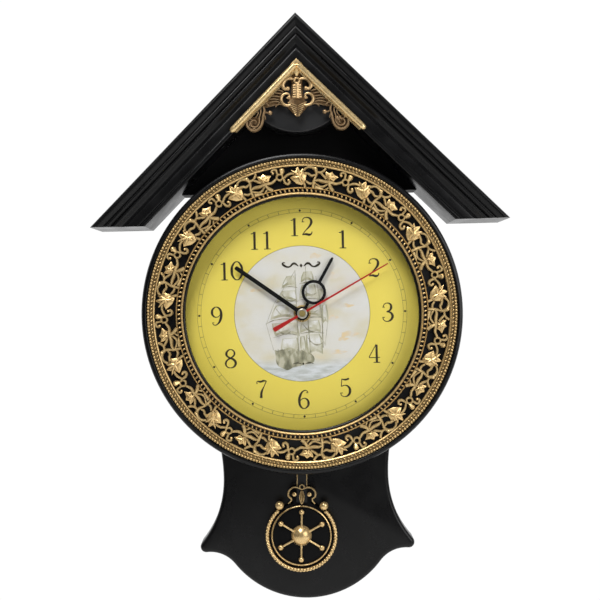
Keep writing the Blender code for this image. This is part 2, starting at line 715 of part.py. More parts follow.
def make_hands():
    """Each hand's outline stands upright at twelve, around the hole that fits its tube."""
    hour_eye = 0.0209
    eye_outer = 0.0106
    hour_arm = 0.0013
    below = [(-x, y) for x, y in reversed(arc((0, hour_eye), eye_outer, -pi / 2 + 0.13, pi / 2 - 0.13, 9))]
    above = arc((0, hour_eye), eye_outer, -pi / 2 + 0.13, pi / 2 - 0.13, 9)
    hub = arc((0, 0), 0.0052, radians(104), radians(436), 14)
    outline = hub + above + [(hour_arm, 0.0522), (0, 0.0550), (-hour_arm, 0.0522)] + below
    holes = [circle(0.0028, 12), circle(0.0081, 18, (0, hour_eye))]
    hand("hour_hand", [outline, *holes], HOUR_HAND_BACK, "black_lacquer", HOUR_ANGLE)

    hub = arc((0, 0), 0.0058, radians(108), radians(432), 14)
    outline = hub + [(0.0018, 0.0680), (0.0012, 0.0700), (-0.0012, 0.0700), (-0.0018, 0.0680)]
    hand("minute_hand", [outline, circle(0.0017, 10)], MINUTE_HAND_BACK, "black_lacquer", MINUTE_ANGLE)

    tip = [(0.0009, 0.0040), (0.0005, 0.0835), (0, 0.0855), (-0.0005, 0.0835), (-0.0009, 0.0040)]
    tail = [(-0.0040, 0), (-0.0009, -0.0040), (-0.0020, -0.0272), (-0.0012, -0.0284)]
    tail += [(0.0012, -0.0284), (0.0020, -0.0272), (0.0009, -0.0040), (0.0040, 0)]
    hand("second_hand", [tip + tail, circle(0.0009, 10)], SECOND_HAND_BACK, "red_lacquer", SECOND_ANGLE)
    cap = [(0, 0.0431), (0.0032, 0.0431), (0.0044, 0.0425), (0.0044, 0.0420), (0.0016, 0.0420)]
    cap += [(0.0016, 0.0425), (0, 0.0425)]
    turned("second_hand_cap", cap, "steel", steps=20)


# Pendulum, in its own frame: local -y hangs straight down from the pivot


def make_pendulum():
    hanging = {"parent": PENDULUM}
    pocket = (0, -MAGNET_DROP)
    bob = (0, -BOB_DROP)

    eye = arc((0, 0), 0.0030, radians(-56), radians(236), 8)
    seat = arc(pocket, 0.0065, radians(112.6), radians(247.4), 5)
    foot = [(-0.0025, -0.0350), (0.0025, -0.0350)]
    outline = eye + seat + foot + [(-x, y) for x, y in reversed(seat)]
    arm = as_mesh(plate("pendulum_arm", [outline, circle(0.0013, 10), circle(0.0053, 16, pocket)],
                        0.0254, 0.0270, "white_nylon", **hanging))
    join(arm, disc("peg", 0.0012, 0.0262, 0.0304, None, location=(0, -PEG_DROP, 0), steps=10, **hanging))
    disc("pendulum_magnet", 0.0050, 0.0248, 0.0274, "steel", location=(*pocket, 0), steps=16, **hanging)

    strip = rounded_box(-0.00475, 0.00475, -0.1340, -0.0285, 0.001)
    peg_hole = circle(0.0015, 10, (0, -PEG_DROP))
    plate("pendulum_rod", [strip, peg_hole], 0.0276, 0.0292, "black_plastic", **hanging)

    neck_angle = radians(75)
    neck = [(0.0100, 0.0420), (-0.0100, 0.0420)]
    backing = arc((0, 0), 0.0290, pi - neck_angle, 2 * pi + neck_angle, 28) + neck
    plate("bob_disc", [backing], 0.0258, 0.0273, "black_plastic", location=bob, **hanging)

    open_angle = radians(50)
    collar = arc((0, 0), BOB_RADIUS, pi - open_angle, 2 * pi + open_angle, 30)
    collar += reversed(arc((0, 0), 0.0280, pi - open_angle, 2 * pi + open_angle, 30))
    ring = as_mesh(plate("bob_rope_ring", [collar], 0.0276, 0.0306, "gilt", location=bob, **hanging))
    for side in (-1, 1):
        centre = (side * 0.0191, 0.0264 - BOB_DROP, 0)
        profile = [(0, 0.0342), (0.0022, 0.0336), (0.0036, 0.0318)]
        profile += [(0.0038, 0.0304), (0.0036, 0.0279), (0, 0.0279)]
        join(ring, turned(f"collar_ball_{side}", profile, None, location=centre, steps=12, **hanging))

    inner = {"location": (*bob, 0), "steps": 32, **hanging}
    washer("bob_inner_ring", 0.0247, 0.0264, 0.0276, 0.0291, "gilt", **inner)

    dome = [(0, 0.0338), (0.0035, 0.0332), (0.0068, 0.0312), (0.0088, 0.0285), (0.0090, 0.0276), (0, 0.0276)]
    rosette = turned("bob_rosette", dome, "gilt", location=(*bob, 0), steps=16, **hanging)
    for spoke in range(6):
        turn = spoke * pi / 3
        angle = {"rotation": (0, 0, turn), "location": (*bob, 0), **hanging}
        bar = block(f"spoke_{spoke}", (-0.0008, 0.0050, 0.0280), (0.0008, 0.0200, 0.0296), None, **angle)
        join(rosette, bar)
        end = {"location": (*polar(0.0206, turn + pi / 2, bob), 0), "steps": 8, **hanging}
        join(rosette, disc(f"spoke_ball_{spoke}", 0.0024, 0.0277, 0.0314, None, **end))

    half = [(0, 0.0480), (0.0030, 0.0470), (0.0035, 0.0420), (0.0095, 0.0395), (0.0115, 0.0350)]
    half += [(0.0150, 0.0315), (0.0120, 0.0290), (0, 0.0300)]
    plate("bob_crest", [mirrored(half)], 0.0310, 0.0330, "gilt", location=bob, **hanging)


# Screws and the holes that they pass through


def screw(name, location, rotation, length, head_radius=0.0030, shank_radius=0.0015):
    """A pan head at the origin and a shank along local -z."""
    head = 0.0017
    profile = [(0, head), (head_radius * 0.8, head), (head_radius, head * 0.5), (head_radius, 0)]
    profile += [(shank_radius, 0), (shank_radius, -length), (0, -length)]
    turned(name, profile, "steel", location=location, rotation=rotation, steps=8)


def screw_hole(name, location, rotation, near, far):
    """A cutter along a screw's shank, from near to far below the head."""
    return disc(name, 0.00185, -far, -near, None, location=location, rotation=rotation, steps=10)


def radial(angle, radius, depth):
    """The place and turn of a screw whose shank points outward from the dial's axis at this angle."""
    return {"location": (*polar(radius, angle), depth), "rotation": (0, -pi / 2, angle)}


def sloped(side):
    (x, y, depth), angle = slope_screw_seat(side)
    seat = polar(-0.0034, angle, (x, y))
    return {"location": (*seat, depth), "rotation": (0, -pi / 2, angle)}


INTERMEDIATE_PLACE = polar(INTERMEDIATE_DISTANCE, INTERMEDIATE_ANGLE)
ROTOR_PLACE = polar(ROTOR_DISTANCE, ROTOR_ANGLE, INTERMEDIATE_PLACE)
THIRD_PLACE = polar(THIRD_DISTANCE, THIRD_ANGLE)
MOTION_PLACE = polar(MOTION_DISTANCE, MOTION_ANGLE)
KNOB_PLACE = polar(KNOB_DISTANCE, KNOB_ANGLE, MOTION_PLACE)

GABLE_SCREWS = [radial(radians(90 + turn), 0.1187, GABLE_FRONT / 2) for turn in (-18, 18)]
BOARD_SCREWS = [radial(radians(270 + turn), 0.1187, 0.0105) for turn in (-20, 20)]
SLOPE_SCREWS = [sloped(side) for side in (-1, 1)]
BEZEL_SCREW_PLACES = [polar(0.1270, radians(45 + 90 * quarter)) for quarter in range(4)]
HANGER_SCREW_PLACES = [(side * 0.0110, HANG_HEIGHT - 0.005) for side in (-1, 1)]

BEZEL_SCREWS = [{"location": (x, y, SHELF_BACK - GAP), "rotation": (pi, 0, 0)} for x, y in BEZEL_SCREW_PLACES]
HANGER_SCREWS = [{"location": (x, y, 0.0043), "rotation": (0, 0, 0)} for x, y in HANGER_SCREW_PLACES]


def screw_holes(name, screws, near, far):
    return [screw_hole(f"{name}_{k}", **at, near=near, far=far) for k, at in enumerate(screws)]


GABLE_HOLES = screw_holes("gable_hole", GABLE_SCREWS, -0.004, 0.010)
BOARD_HOLES = screw_holes("board_hole", BOARD_SCREWS, -0.004, 0.010)
SLOPE_HOLES = screw_holes("slope_hole", SLOPE_SCREWS, -0.001, 0.009)
BEZEL_HOLES = screw_holes("bezel_hole", BEZEL_SCREWS, 0, 0.0118)
HANGER_HOLES = screw_holes("hanger_hole", HANGER_SCREWS, 0, 0.0060)


def make_screws():
    for number, at in enumerate(GABLE_SCREWS, 1):
        screw(f"gable_screw_{number}", **at, length=0.0090)
    for number, at in enumerate(BOARD_SCREWS, 1):
        screw(f"board_screw_{number}", **at, length=0.0090)
    for number, at in enumerate(SLOPE_SCREWS, 1):
        screw(f"roof_screw_{number}", **at, length=0.0080)
    for number, at in enumerate(BEZEL_SCREWS, 1):
        screw(f"bezel_screw_{number}", **at, length=0.0100)
    for number, at in enumerate(HANGER_SCREWS, 1):
        screw(f"hanger_screw_{number}", **at, length=0.0040)


make_roof()
make_gable()
make_plaque()
make_ornament()
make_lower_board()
make_drum()
make_hanger()
make_bezel()
make_front_rings()
make_movement_case()
make_motor()
make_battery()
make_going_train()
make_motion_work()
make_hands()
make_pendulum()
make_screws()
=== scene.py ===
import json
from math import acos, atan2, cos, hypot, pi, radians, sin, sqrt

import bmesh
import bpy
from mathutils import Matrix, Vector


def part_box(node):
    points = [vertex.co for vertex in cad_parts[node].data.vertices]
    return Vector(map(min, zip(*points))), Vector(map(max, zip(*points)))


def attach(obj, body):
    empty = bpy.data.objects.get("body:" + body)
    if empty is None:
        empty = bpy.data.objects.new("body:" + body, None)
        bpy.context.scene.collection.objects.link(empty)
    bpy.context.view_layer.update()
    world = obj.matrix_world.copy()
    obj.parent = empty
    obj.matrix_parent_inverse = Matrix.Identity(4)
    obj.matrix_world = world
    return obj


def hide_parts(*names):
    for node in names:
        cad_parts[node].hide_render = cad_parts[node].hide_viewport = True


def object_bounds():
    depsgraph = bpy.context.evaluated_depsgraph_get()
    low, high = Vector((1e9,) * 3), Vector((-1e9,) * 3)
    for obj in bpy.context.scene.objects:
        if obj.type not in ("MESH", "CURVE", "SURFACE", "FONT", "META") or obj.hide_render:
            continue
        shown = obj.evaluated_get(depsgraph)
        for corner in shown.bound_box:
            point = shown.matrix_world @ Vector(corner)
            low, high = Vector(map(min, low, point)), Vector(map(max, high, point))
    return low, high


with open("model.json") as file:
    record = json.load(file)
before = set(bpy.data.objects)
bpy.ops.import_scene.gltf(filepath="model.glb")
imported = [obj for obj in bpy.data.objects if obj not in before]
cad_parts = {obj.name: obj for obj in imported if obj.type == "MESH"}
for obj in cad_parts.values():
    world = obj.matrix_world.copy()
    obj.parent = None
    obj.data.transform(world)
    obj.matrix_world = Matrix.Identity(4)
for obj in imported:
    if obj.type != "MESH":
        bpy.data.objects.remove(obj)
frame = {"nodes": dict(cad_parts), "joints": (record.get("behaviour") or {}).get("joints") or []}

cad_low, cad_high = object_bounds()

# Roof moulding: a chevron of black moulded cornice, mitred at the apex and cut level at both feet, hollow from
# behind. Its front steps down in rounded reeds from the outer nose to the inner edge. Like the rest it is
# modelled face on around the dial's centre, x to the right, y up and z out of the wall.
MM = 0.001
dial_low, dial_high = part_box("dial")
HUB_HEIGHT = (dial_low.z + dial_high.z) / 2
FACE_ON = Matrix.Translation((0, 0, HUB_HEIGHT)) @ Matrix.Rotation(pi / 2, 4, "X")


def depths(node):
    """A CAD node's back and front, as distances in front of the wall."""
    low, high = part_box(node)
    return -high.y, -low.y


ROOF_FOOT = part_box("roof_cornice")[0].z - HUB_HEIGHT
ROOF_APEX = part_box("roof_cornice")[1].z - HUB_HEIGHT
WALL = 2.5 * MM


def eased(points, steps):
    """More points along a smooth line through the given ones."""
    line = []
    for k in range(len(points) - 1):
        near = [points[min(max(n, 0), len(points) - 1)] for n in (k - 1, k, k + 1, k + 2)]
        before, start, end, after = (Vector(point) for point in near)
        for step in range(steps):
            t = step / steps
            cubic = 2 * start + (end - before) * t + (2 * before - 5 * start + 4 * end - after) * t * t
            line.append((cubic + (3 * start - before - 3 * end + after) * t**3) / 2)
    return line + [Vector(points[-1])]


def chevron(section, foot):
    """A section of (distance in from the upper edge, depth) run down both slopes and cut level at the foot."""
    shape = bmesh.new()
    corners = [shape.verts.new((0, ROOF_APEX - inset * sqrt(2), depth)) for inset, depth in section]
    swept = bmesh.ops.extrude_face_region(shape, geom=[shape.faces.new(corners)])["geom"]
    for corner in swept:
        if isinstance(corner, bmesh.types.BMVert):
            corner.co = (corner.co.y - foot, foot, corner.co.z)
    mitre = [face for face in shape.faces if all(abs(corner.co.x) < 0.000001 for corner in face.verts)]
    bmesh.ops.delete(shape, geom=mitre, context="FACES_ONLY")
    whole = shape.verts[:] + shape.edges[:] + shape.faces[:]
    bmesh.ops.mirror(shape, geom=whole, axis="X", merge_dist=0.00001)
    bmesh.ops.recalc_face_normals(shape, faces=shape.faces)
    return shape


def carved(shape, *tools):
    """The shape with each tool's shape cut out of it."""
    for tool in tools:
        sides = []
        for part in (shape, tool):
            bmesh.ops.recalc_face_normals(part, faces=part.faces)
            mesh = bpy.data.meshes.new("carving")
            part.to_mesh(mesh)
            part.free()
            sides.append(bpy.data.objects.new("carving", mesh))
            bpy.context.scene.collection.objects.link(sides[-1])
        cut = sides[0].modifiers.new("cut", "BOOLEAN")
        cut.object = sides[1]
        cut.solver = "EXACT"
        evaluated = sides[0].evaluated_get(bpy.context.evaluated_depsgraph_get())
        shape = bmesh.new()
        shape.from_mesh(bpy.data.meshes.new_from_object(evaluated))
        for side in sides:
            bpy.data.objects.remove(side)
    return shape


reeds = eased([(0.0, 56.5), (0.6, 58.6), (2.2, 59.9), (4.4, 59.6), (6.6, 58.2), (7.9, 57.4)], 4)
reeds += eased([(8.0, 58.0), (8.9, 58.9), (10.2, 58.8), (11.6, 57.4), (12.6, 56.4)], 3)
reeds += eased([(12.8, 57.2), (13.8, 57.9), (15.0, 57.5), (16.6, 55.7), (18.2, 54.3), (20.4, 54.2)], 3)
reeds += eased([(20.6, 54.9), (21.4, 55.4), (24.0, 55.7), (27.0, 55.8), (28.6, 55.3)], 3)
reeds += eased([(28.8, 54.7), (29.6, 55.1), (31.2, 55.1), (32.1, 54.6), (32.4, 53.6)], 3)
roof_section = [(32.4 * MM, 0), (0, 0)] + [(inset * MM, depth * MM) for inset, depth in reeds]
roof_hollow = [(inset * MM, depth * MM) for inset, depth in ((2.5, -2), (2.5, 52), (29.9, 51.5), (29.9, -2))]
roof = carved(chevron(roof_section, ROOF_FOOT), chevron(roof_hollow, ROOF_FOOT + WALL))


# The moulding and the whole case are black plastic, satin, with a fine spark texture and an uneven sheen.
def new_finish(name, colour, roughness, metallic=0.0):
    """A finish of one colour and one roughness, to be clouded and grained below."""
    finish = bpy.data.materials.new(name)
    finish.use_nodes = True
    shader = finish.node_tree.nodes["Principled BSDF"]
    shader.inputs["Base Color"].default_value = (*colour, 1.0)
    shader.inputs["Roughness"].default_value = roughness
    shader.inputs["Metallic"].default_value = metallic
    return finish


def noise(finish, scale, detail=3.0, stretch=(1, 1, 1)):
    """A cloudy pattern in metres on the piece: its factor output."""
    nodes, links = finish.node_tree.nodes, finish.node_tree.links
    place = nodes.new("ShaderNodeTexCoord")
    spread = nodes.new("ShaderNodeMapping")
    spread.inputs["Scale"].default_value = stretch
    cloud = nodes.new("ShaderNodeTexNoise")
    cloud.inputs["Scale"].default_value = scale
    cloud.inputs["Detail"].default_value = detail
    links.new(place.outputs["Object"], spread.inputs["Vector"])
    links.new(spread.outputs["Vector"], cloud.inputs["Vector"])
    return cloud.outputs["Fac"]


def ramped(finish, factor, *stops):
    """A colour that runs through (position, colour) stops as a factor rises."""
    ramp = finish.node_tree.nodes.new("ShaderNodeValToRGB")
    while len(ramp.color_ramp.elements) < len(stops):
        ramp.color_ramp.elements.new(0.5)
    for element, (position, colour) in zip(ramp.color_ramp.elements, stops):
        element.position = position
        element.color = (*colour, 1.0)
    finish.node_tree.links.new(factor, ramp.inputs["Fac"])
    return ramp.outputs["Color"]


def feed(finish, socket, output):
    """Lets a pattern drive one socket of the finish."""
    finish.node_tree.links.new(output, finish.node_tree.nodes["Principled BSDF"].inputs[socket])


def uneven_sheen(finish, low, high, scale=60.0):
    """Lets the roughness drift between two values."""
    spread = finish.node_tree.nodes.new("ShaderNodeMapRange")
    spread.inputs["From Min"].default_value = 0.3
    spread.inputs["From Max"].default_value = 0.7
    spread.inputs["To Min"].default_value = low
    spread.inputs["To Max"].default_value = high
    finish.node_tree.links.new(noise(finish, scale), spread.inputs["Value"])
    feed(finish, "Roughness", spread.outputs["Result"])


def grained(finish, scale, strength, depth=0.00005, stretch=(1, 1, 1)):
    """A fine grain that only the light shows."""
    bump = finish.node_tree.nodes.new("ShaderNodeBump")
    bump.inputs["Strength"].default_value = strength
    bump.inputs["Distance"].default_value = depth
    finish.node_tree.links.new(noise(finish, scale, 2.0, stretch), bump.inputs["Height"])
    feed(finish, "Normal", bump.outputs["Normal"])


def clouded(finish, scale, *stops, detail=3.0, stretch=(1, 1, 1)):
    """Lets the colour drift between close tones."""
    feed(finish, "Base Color", ramped(finish, noise(finish, scale, detail, stretch), *stops))


def moulded(name, colour, roughness, grain, strength):
    """A moulded plastic, with the spark texture of its mould."""
    finish = new_finish(name, colour, roughness)
    uneven_sheen(finish, roughness - 0.05, roughness + 0.06)
    grained(finish, grain, strength)
    return finish


black_plastic = moulded("black_plastic", (0.003, 0.003, 0.0032), 0.29, 1800.0, 0.02)
black_plastic.node_tree.nodes["Principled BSDF"].inputs["Specular IOR Level"].default_value = 0.26
clouded(black_plastic, 35.0, (0.3, (0.0020, 0.0020, 0.0022)), (0.7, (0.0036, 0.0036, 0.0039)))


def seated(name, shape, finish, nodes=(), body="case", crease=38, where=FACE_ON):
    """Welds a modelled shape, turns its faces outwards and seats it on the clock."""
    bmesh.ops.remove_doubles(shape, verts=shape.verts, dist=0.000002)
    bmesh.ops.recalc_face_normals(shape, faces=shape.faces)
    bmesh.ops.transform(shape, matrix=where, verts=shape.verts)
    mesh = bpy.data.meshes.new(name)
    shape.to_mesh(mesh)
    shape.free()
    mesh.shade_smooth()
    mesh.set_sharp_from_angle(angle=radians(crease))
    mesh.materials.append(finish)
    piece = bpy.data.objects.new(name, mesh)
    bpy.context.scene.collection.objects.link(piece)
    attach(piece, body)
    if nodes:
        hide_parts(*nodes)
    return piece


seated("roof_moulding", roof, black_plastic, ["roof_cornice"], crease=28)


# Gable: a flat black board behind the moulding, open at the back, and a raised shield on it with a round lower
# edge. The board is painted a darker, duller black, a painted shade for the roof's shadow on it. The shield is
# painted a little greyer, a painted light for the light it catches, and its front edge is rolled over so that
# it catches a thin line of light.
def dressed(node, finish):
    """Gives a CAD node its finish."""
    for place in frame["nodes"][node].material_slots:
        place.material = finish


def arc(centre, radius, start, end, steps):
    """Points along an arc, its two ends included."""
    turns = [start + (end - start) * k / steps for k in range(steps + 1)]
    return [(centre[0] + radius * cos(turn), centre[1] + radius * sin(turn)) for turn in turns]


def mirrored(half):
    """A whole outline from its right half, which runs from the top centre to the bottom centre."""
    return half + [(-x, y) for x, y in reversed(half) if abs(x) > 0.00001]


def slab(outline, back, front):
    """A plate cut to an outline."""
    shape = bmesh.new()
    face = shape.faces.new([shape.verts.new((x, y, back)) for x, y in outline])
    raised = bmesh.ops.extrude_face_region(shape, geom=[face])["geom"]
    corners = [part for part in raised if isinstance(part, bmesh.types.BMVert)]
    bmesh.ops.translate(shape, vec=(0, 0, front - back), verts=corners)
    return shape


def lofted(outline, levels):
    """A body through (inset, depth) levels of an outline, from inside its hollow to its front."""
    shape = bmesh.new()
    rings = [[shape.verts.new((x, y, depth)) for x, y in outline(inset)] for inset, depth in levels]
    loops = [[shape.edges.new((ring[k - 1], ring[k])) for k in range(len(ring))] for ring in rings]
    for below, above in zip(loops, loops[1:]):
        bmesh.ops.bridge_loops(shape, edges=below + above)
    shape.faces.new(rings[0])
    shape.faces.new(rings[-1])
    return shape


def hollow_levels(back, front, wall, edge):
    """The levels of a shell that is open at the back and has a rolled front edge."""
    turns = [k * pi / 12 for k in range(7)]
    roll = [(edge - edge * cos(turn), front - edge + edge * sin(turn)) for turn in turns]
    return [(wall, front - wall), (wall, back), (0, back)] + roll


def shield(inset):
    """The gable's apex over a round belly."""
    radius = 45.6 * MM - inset
    apex = ROOF_APEX - (32.7 * MM + inset) * sqrt(2)
    rise = apex - 200 * MM
    across = (rise + sqrt(2 * radius**2 - rise**2)) / 2
    start = atan2(rise - across, across)
    return mirrored([(0, apex)] + arc((0, 200 * MM), radius, start, -pi / 2, 28))


# Painted shade and painted light: the board's black is made darker and duller, the shield's a little greyer.
painted_shade_black = moulded("painted_shade_black", (0.002, 0.002, 0.0022), 0.55, 1800.0, 0.04)
painted_shade_black.node_tree.nodes["Principled BSDF"].inputs["Specular IOR Level"].default_value = 0.12
dressed("gable_board", painted_shade_black)
plaque_back, plaque_front = depths("gable_plaque")
plaque = lofted(shield, hollow_levels(plaque_back, plaque_front, WALL, 1.4 * MM))
painted_light_black = moulded("painted_light_black", (0.0085, 0.0085, 0.009), 0.40, 1800.0, 0.04)
seated("gable_shield", plaque, painted_light_black, ["gable_plaque"])


# Gable ornament: one gilt casting, a V-shaped bar over the moulding's inner edge with a shell at its apex, a
# banded column between scrolls, ribbed wings, a pointed palmette and a paisley scroll under each end of the
# bar. It is vacuum-gilded plastic, built from tapered scroll rods, balls and raised leaves on a common ground.
def gilded(name, crest, painted_shade_tone, roughness, reach, metallic=0.6, grain=0.2):
    """Gilding: a crest tone, and a darker one as painted shade and antique toning where the surface is closed
    in.
    """
    finish = new_finish(name, crest, roughness, metallic)
    nodes, links = finish.node_tree.nodes, finish.node_tree.links
    occlusion_shade = nodes.new("ShaderNodeAmbientOcclusion")
    occlusion_shade.samples = 6
    occlusion_shade.inputs["Distance"].default_value = reach
    shaded = ramped(finish, occlusion_shade.outputs["AO"], (0.32, painted_shade_tone), (0.88, crest))
    worn = ramped(finish, noise(finish, 420.0), (0.32, (0.78, 0.76, 0.72)), (0.62, (1.0, 1.0, 1.0)))
    tint = nodes.new("ShaderNodeMix")
    tint.data_type = "RGBA"
    tint.blend_type = "MULTIPLY"
    tint.inputs["Factor"].default_value = 1.0
    links.new(shaded, tint.inputs["A"])
    links.new(worn, tint.inputs["B"])
    feed(finish, "Base Color", tint.outputs["Result"])
    uneven_sheen(finish, roughness - 0.06, roughness + 0.10, 300.0)
    grained(finish, 900.0, grain, 0.00006)
    return finish


def rod(shape, points, radii, depth, relief=1.0, smooth=4, sides=1, closed=False):
    """Adds a tapered rod through points in millimetres. Relief raises or flattens its cross-section."""
    curve = bpy.data.curves.new("rod", "CURVE")
    curve.dimensions = "3D"
    curve.bevel_depth = 1.0
    curve.bevel_resolution = sides
    curve.resolution_u = smooth
    curve.use_fill_caps = True
    spline = curve.splines.new("BEZIER")
    spline.bezier_points.add(len(points) - 1)
    spline.use_cyclic_u = closed
    if not isinstance(radii, (list, tuple)):
        radii = [radii] * len(points)
    for knot, (x, y), radius in zip(spline.bezier_points, points, radii):
        knot.co = (x * MM, y * MM, 0)
        knot.radius = radius * MM
    for knot in spline.bezier_points:
        knot.handle_left_type = knot.handle_right_type = "AUTO"
    holder = bpy.data.objects.new("rod", curve)
    mesh = bpy.data.meshes.new_from_object(holder)
    mesh.transform(Matrix.Translation((0, 0, depth)) @ Matrix.Diagonal((1, 1, relief, 1)))
    shape.from_mesh(mesh)
    bpy.data.objects.remove(holder)
    bpy.data.curves.remove(curve)
    bpy.data.meshes.remove(mesh)


def ball(shape, x, y, radius, depth, relief=1.0, around=10, across=6, turn=0.0, stretch=1.0):
    """Adds a bead, in millimetres, drawn out along its turn."""
    size = Matrix.Diagonal((stretch, 1, relief, 1))
    place = Matrix.Translation((x * MM, y * MM, depth)) @ Matrix.Rotation(turn, 4, "Z") @ size
    bmesh.ops.create_uvsphere(shape, u_segments=around, v_segments=across, radius=radius * MM, matrix=place)


def added(shape, other):
    """Puts another shape into this one."""
    mesh = bpy.data.meshes.new("added")
    other.to_mesh(mesh)
    other.free()
    shape.from_mesh(mesh)
    bpy.data.meshes.remove(mesh)


def leaf(shape, outline, base, edge, crown):
    """Adds a leaf: its outline in millimetres, the height of its edge and of its raised middle."""
    face = shape.faces.new([shape.verts.new((x * MM, y * MM, base)) for x, y in outline])
    raised = bmesh.ops.extrude_face_region(shape, geom=[face])["geom"]
    corners = [part for part in raised if isinstance(part, bmesh.types.BMVert)]
    bmesh.ops.translate(shape, vec=(0, 0, edge), verts=corners)
    top = [part for part in raised if isinstance(part, bmesh.types.BMFace)]
    bmesh.ops.inset_region(shape, faces=top, thickness=0.00035, depth=0.0003, use_even_offset=True)
    middle = [face for face in top if face.is_valid]
    bmesh.ops.poke(shape, faces=middle, offset=crown, center_mode="MEAN_WEIGHTED")


def sided(side, points):
    """The points of the right side, or their mirror image."""
    return [(side * x, y) for x, y in points]


# The bar and shell are plain bright gold. The scrolls are satin gold on their crests and dark bronze in the
# recesses, a painted shade that also stands for antique toning.
bright_gold = new_finish("bright_gilt", (0.84, 0.62, 0.30), 0.27, 0.72)
clouded(bright_gold, 220.0, (0.3, (0.78, 0.56, 0.26)), (0.7, (0.88, 0.67, 0.35)))
uneven_sheen(bright_gold, 0.22, 0.33, 260.0)
grained(bright_gold, 1200.0, 0.03)
column_gold = gilded("column_gilt", (0.60, 0.41, 0.20), (0.09, 0.05, 0.018), 0.34, 0.0018)
antique_gold = gilded("antique_gilt", (0.38, 0.25, 0.13), (0.05, 0.028, 0.012), 0.36, 0.0018)
ornament_ground, bar_top = depths("gable_ornament")

bar = bmesh.new()
apex_y = (ROOF_APEX - 30.4 * MM * sqrt(2)) / MM
for side in (-1, 1):
    run = [(side * reach, apex_y - reach) for reach in (1.8, 20, 40, 52.2, 54.6, 55.8, 56.5, 56.8)]
    rod(bar, run, [2.7, 2.7, 2.7, 2.7, 2.68, 2.2, 1.4, 0.4], bar_top - 2.75 * MM, 1.0, 3, 6)
    inner = [(side * k, apex_y - 4.6 - k) for k in (0, 20, 40, 52.4)]
    rod(bar, inner, [1.1, 1.1, 1.1, 0.8], bar_top - 4.6 * MM, 1.8, 1, 1)
cap_line = mirrored([(0, apex_y + 3.9), (4.6, apex_y - 0.7), (5.2, apex_y - 3.4), (0, apex_y - 1.6)])
leaf(bar, cap_line, bar_top - 4.5 * MM, 3.2 * MM, 0.5 * MM)
shell_level = bar_top - 3.6 * MM
rod(bar, [(0, 210.6), (0, 206.6), (0, 203.2), (0, 200.9)], [0.6, 1.7, 2.3, 0.9], shell_level, 1.1, 4, 2)
for side in (-1, 1):
    rod(bar, sided(side, [(1.0, 209.8), (2.7, 206.2), (4.0, 203.2)]), [0.5, 1.15, 0.7], shell_level, 1.2, 4, 2)
    rod(bar, sided(side, [(2.2, 209.0), (4.9, 206.0), (7.0, 203.6)]), [0.5, 1.1, 0.6], shell_level, 1.2, 4, 2)
seated("gable_bar", bar, bright_gold, ())

cast = bmesh.new()
scroll_level = bar_top - 4.6 * MM
upper_scroll = [
    (2.6, 198.4), (5.2, 198.9), (8.1, 198.6), (11.0, 196.0), (11.9, 192.6), (10.2, 190.2), (8.2, 190.2)
]
lower_scroll = [(8.6, 182.2), (6.6, 183.9), (7.6, 185.9), (10.4, 186.0), (13.0, 183.7), (13.3, 180.3)]
lower_scroll += [(11.2, 177.2), (8.4, 176.2), (5.6, 176.6)]
lower_radii = [0.9, 1.0, 1.05, 1.1, 1.25, 1.3, 1.3, 1.2, 0.9]
for side in (-1, 1):
    rod(cast, sided(side, upper_scroll), [0.9, 1.2, 1.5, 1.75, 1.75, 1.5, 1.2], scroll_level, 1.3, 4, 2)
    ball(cast, side * 7.7, 190.5, 1.9, scroll_level, 1.1)
    rod(cast, sided(side, lower_scroll), lower_radii, scroll_level, 1.4, 4, 2)
    ball(cast, side * 7.0, 183.0, 1.6, scroll_level, 1.2)
rod(cast, [(2.15, 197.1), (0, 199.25), (-2.15, 197.1), (0, 194.95)], 1.0, scroll_level, 1.5, 4, 2, True)
for k in range(6):
    half = 3.5 if k else 3.9
    rod(cast, [(-half, 183.2 + k * 1.95), (half, 183.2 + k * 1.95)], 1.02, scroll_level, 1.7, 1, 2)
rod(cast, [(0, 182.2), (0, 194.6)], [2.6, 2.4], scroll_level - 0.6 * MM, 1.0, 1, 2)
for side in (-1, 1):
    for k in range(6):
        start = (side * 0.5, 167.2 + k * 1.75)
        end = (side * (2.2 + k * 1.15), 169.0 + k * 2.0)
        middle = ((start[0] + end[0]) / 2, (start[1] + end[1]) / 2 - 0.2)
        rod(cast, [start, middle, end], [0.5, 0.8, 0.5], scroll_level - 0.2 * MM, 1.7)
seated("gable_column", cast, column_gold, ())

wings = bmesh.new()
wing_level = scroll_level - 0.3 * MM
outer_tail = [(29.0, 176.4), (27.9, 172.6), (29.0, 168.2), (29.6, 163.6), (32.4, 157.8), (36.8, 155.6)]
outer_tail += [(41.4, 157.8), (42.9, 162.2), (41.2, 165.6), (38.9, 165.0)]
outer_radii = [0.7, 1.0, 1.15, 1.3, 1.4, 1.45, 1.35, 1.2, 1.0, 0.8]
inner_tail = [(31.2, 175.2), (31.0, 170.8), (32.4, 166.4), (32.4, 162.2), (35.0, 158.8), (38.6, 159.2)]
inner_tail += [(39.8, 162.2), (37.4, 164.4), (35.0, 163.0), (35.9, 161.0)]
inner_radii = [0.5, 0.75, 0.85, 0.9, 0.95, 0.95, 0.9, 0.8, 0.7, 0.5]
web = [(13.2, 178.4), (19.0, 177.4), (25.5, 175.6), (28.6, 176.0), (29.8, 180.2), (24.6, 187.2), (20.6, 189.0)]
web += [(12.0, 188.4)]
